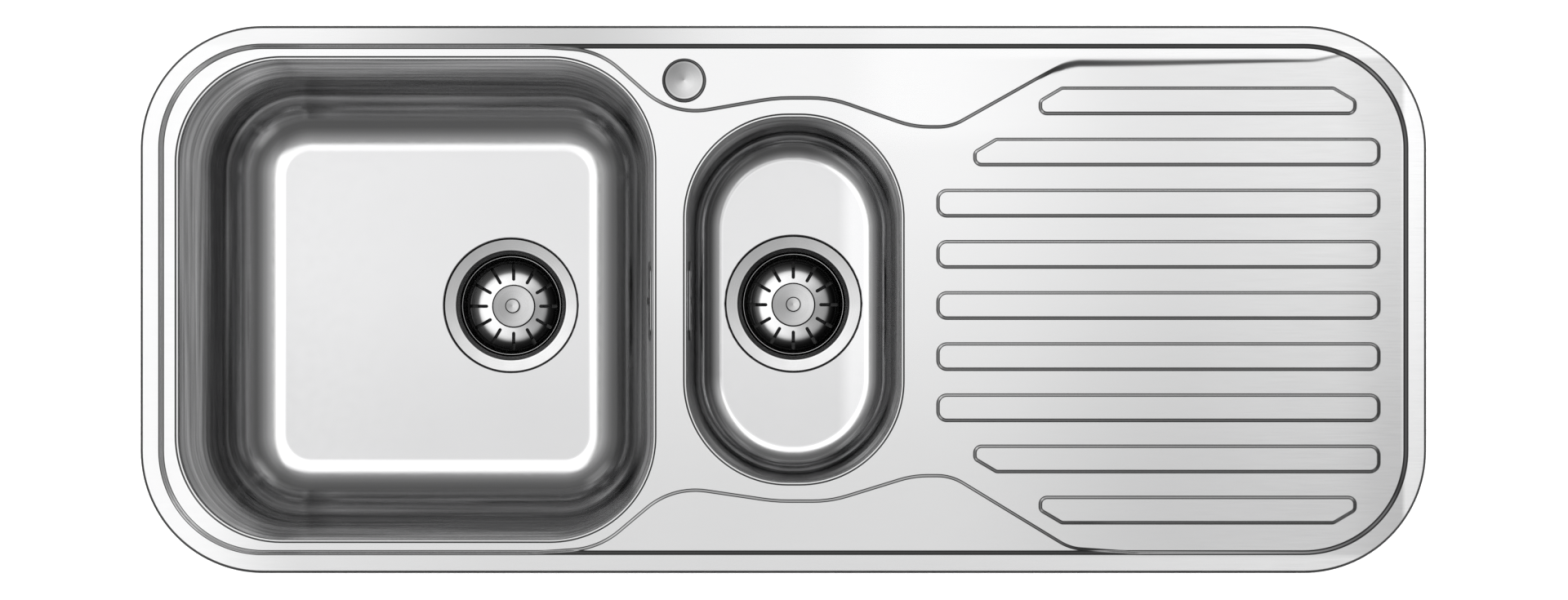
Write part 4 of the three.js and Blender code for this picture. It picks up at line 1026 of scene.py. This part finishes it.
def build_strainer(bowl, x, floor):
    place = (x, 0, floor)
    cup = turned(bowl + "_strainer", [
        (0, -44), *arc(42.8, -41, 3, 3, -90, 0, 5), (45.8, -6), *arc(46.9, -5, 1.1, 1.1, 180, 125, 4),
        *arc(49.6, -3, 1.25, 1.25, 130, 93, 4),
        (54, -1.58), *arc(58.7, -2, 0.8, 0.8, 93, 0, 5), (59.5, -2.2), (49.2, -2.2),
        *arc(49.2, -4.8, 2.6, 2.6, 90, 180, 5), (46.6, -42), *arc(43.1, -41.3, 3.5, 3.5, 0, -90, 5), (0, -44.8),
    ], place, 128)
    holes = [turned("hole", [(0, -60), (6.5, -60), (6.5, -30), (0, -30)],
                    (x + 21 * math.cos(a), 21 * math.sin(a), floor), 32)
             for a in (math.pi / 3 * k for k in range(6))]
    holes.append(turned("hole", [(0, -60), (3.3, -60), (3.3, -30), (0, -30)], place, 32))
    dressed(crisp(cut(cup, holes)), "spun_steel", "sink", bowl + "_strainer_cup", finish=CUP)

    inside = dish(20.3, -7.7, 23.2, 23.3, 26)
    outside = dish(20.3, -8.5, 24, 23.3, 26)[::-1]
    basket = turned(bowl + "_strainer_basket", [
        (3.3, -31), *inside[:-1], (43.5, -8.2), *arc(43.75, -7.95, 0.25, 0.25, 180, 90, 3),
        *arc(44.05, -7.95, 0.25, 0.25, 90, 0, 3), *outside[1:], (3.3, -31.8),
    ], place, 192)
    cut(basket, [bars("slots", place, 12, 23, 40, 3, -60, 10)])
    body = bowl + "_basket"
    dressed(crisp(basket), "spun_steel", body, bowl + "_basket", finish=BASKET)

    knob = turned(bowl + "_button", [
        (0, -17.7), (2, -17.68), (4.6, -17.62), *arc(5.6, -18.7, 1.1, 1.1, 90, -30, 8), (6.2, -21), (5.4, -22.4),
        (5.2, -24), *arc(6.4, -27.4, 1.2, 1.2, 180, 260, 5), (9, -28.8), (14, -29.1),
        *arc(18.1, -30.5, 1.5, 1.2, 88, 0, 6),
        (19.6, -30.7), (3, -30.7), (3, -38.8), (5, -38.8), (5, -40.3), (0, -40.3),
    ], place, 96)
    dressed(knob, "spun_steel", body, bowl + "_basket_knob")

    stopper = turned(bowl + "_plug", rounded([
        (3.3, -32.1), (14, -32.1), (20.1, -37.5), (32, -40.7), (33.5, -41.9), (33.5, -43.7), (29.5, -43.7),
        (26.8, -42.7), (11.7, -38.5), (3.3, -38.5),
    ], 1.2), place, 96)
    dressed(stopper, "rubber", body, bowl + "_basket_stopper")

    screw = turned(bowl + "_middle_screw", rounded([
        (0, -41.2), (3.9, -41.2), (5.5, -42.2), (5.5, -43.7), (3, -43.7), (3, -57.8), (0, -57.8),
    ], 0.5), place, 32)
    dressed(screw, "spun_steel", "sink", bowl + "_centre_screw")


build_strainer("main", MAIN_DRAIN, MAIN_FLOOR)
build_strainer("half", HALF_DRAIN, HALF_FLOOR)

TAP = (TAP_X, TAP_Y, LEDGE)
cover = turned("tap_hole_disc", [
    (0, 3.02), (4, 3.06), (8, 3.22), (11, 3.44), (13.8, 3.7), *arc(15, 2.6, 2.4, 1.2, 105, 0, 8),
    (17.4, 1.6), (3, 1.6), (3, -36.4), (0, -36.4),
], TAP, 128)
dressed(cover, "spun_steel", "sink", "tap_hole_cover", finish=DISC)
washer = turned("tap_hole_washer", rounded([
    (3.3, 1.3), (18.5, 1.3), (18.5, 0.3), (17.2, 0.3), (17.2, -2.3), (14.2, -2.3), (14.2, -0.1), (3.3, -0.1),
], 0.35), TAP, 128)
dressed(washer, "rubber", "sink", "tap_cover_seal")


# Stage, light and camera

def build_stage():
    low = cad_box[0].z * 1000 - 1
    floor = mesh_object("floor", [(-30000, -30000, low), (30000, -30000, low), (30000, 30000, low),
                                  (-30000, 30000, low)], [(0, 1, 2, 3)])
    made, nodes, links, shader = material("pale_floor")
    shader.inputs["Base Color"].default_value = (0.9, 0.9, 0.9, 1)
    shader.inputs["Roughness"].default_value = 0.9
    path = nodes.new("ShaderNodeLightPath")
    seen = calc(nodes, links, "MAXIMUM", path.outputs["Is Camera Ray"], path.outputs["Is Glossy Ray"])
    seen = calc(nodes, links, "MAXIMUM", seen, path.outputs["Is Transmission Ray"])
    shader.inputs["Emission Color"].default_value = (1, 1, 1, 1)
    links.new(calc(nodes, links, "MULTIPLY", seen, 0.25), shader.inputs["Emission Strength"])
    floor.data.materials.append(made)


def build_world():
    world = bpy.data.worlds.new("studio")
    world.use_nodes = True
    nodes, links = world.node_tree.nodes, world.node_tree.links
    place = nodes.new("ShaderNodeTexCoord")
    apart = nodes.new("ShaderNodeSeparateXYZ")
    links.new(place.outputs["Generated"], apart.inputs["Vector"])
    x, y, z = (apart.outputs[axis] for axis in "XYZ")

    def sum_of(*terms):
        total = terms[0]
        for term in terms[1:]:
            total = calc(nodes, links, "ADD", total, term)
        return total

    def product(*terms):
        total = terms[0]
        for term in terms[1:]:
            total = calc(nodes, links, "MULTIPLY", total, term)
        return total

    # The soft box hangs over the sink, a little behind it
    up = calc(nodes, links, "MAXIMUM", z, 0.02)
    across, along = calc(nodes, links, "DIVIDE", x, up), calc(nodes, links, "DIVIDE", y, up)
    beside = product(band(nodes, links, across, -0.54, -0.27), band(nodes, links, across, 0.42, 0.18))
    lamp = product(beside, band(nodes, links, along, -0.36, -0.12), band(nodes, links, along, 0.72, 0.34))
    wash = product(beside, band(nodes, links, along, 1.9, 0.45), band(nodes, links, along, 0.0, 0.3), 0.38)
    # Round it the studio is grey, with a pale back wall and pale corners
    dim = greys(nodes, links, z, [(0.0, 0.38), (0.10, 0.36), (0.90, 0.34), (0.94, 0.34), (1.0, 0.45)], 1)
    low = band(nodes, links, z, 0.5, 0.2)
    back = product(band(nodes, links, y, 0.1, 0.9), low, 0.45)
    front = product(band(nodes, links, y, -0.1, -0.9), low, -0.06)
    diagonal = calc(nodes, links, "ABSOLUTE", product(x, y, 2))
    flat = calc(nodes, links, "SUBTRACT", 1.0001, product(z, z))
    corner = product(band(nodes, links, calc(nodes, links, "DIVIDE", diagonal, flat), 0.78, 1.0),
                     band(nodes, links, z, 0.64, 0.5), 0.4)
    right = product(band(nodes, links, x, 0.25, 0.45), band(nodes, links, z, 0.6, 0.8), 0.14)
    around = sum_of(dim, back, front, corner, right)
    edges = band(nodes, links, calc(nodes, links, "ABSOLUTE", across), 0.09, 0.17)
    behind = band(nodes, links, along, 0.05, 0.12)
    lit = product(lamp, sum_of(product(edges, 0.13), product(behind, 0.06), 1.12))
    level = calc(nodes, links, "MAXIMUM", around, lit)
    level = calc(nodes, links, "MAXIMUM", level, wash)
    # The camera sees white
    level = calc(nodes, links, "MAXIMUM", level, nodes.new("ShaderNodeLightPath").outputs["Is Camera Ray"])
    nodes["Background"].inputs["Color"].default_value = (1, 1, 1, 1)
    links.new(level, nodes["Background"].inputs["Strength"])
    bpy.context.scene.world = world


def build_fill():
    """A broad lamp for what isn't polished, which shows no glare in the steel."""
    data = bpy.data.lights.new("fill", "AREA")
    data.shape = "DISK"
    data.size = 5
    data.energy = 220
    lamp = bpy.data.objects.new("fill", data)
    lamp.location = (0, 0, 3.6)
    lamp.visible_glossy = False
    bpy.context.scene.collection.objects.link(lamp)


def build_camera():
    height, aim_y, width = 2700, -80, 1920 * 0.6855
    data = bpy.data.cameras.new("camera")
    data.sensor_fit = "HORIZONTAL"
    data.sensor_width = 36
    data.lens = 36 * height / width
    data.shift_x = 0.5 / width
    data.shift_y = (-aim_y - 0.5) / width
    data.clip_start, data.clip_end = 0.1, 200
    camera = bpy.data.objects.new("camera", data)
    camera.location = Vector((0, aim_y, height + RIM_TOP)) * 0.001
    bpy.context.scene.collection.objects.link(camera)
    bpy.context.scene.camera = camera


build_stage()
build_world()
build_fill()
build_camera()
bpy.context.scene.view_settings.view_transform = "Standard"
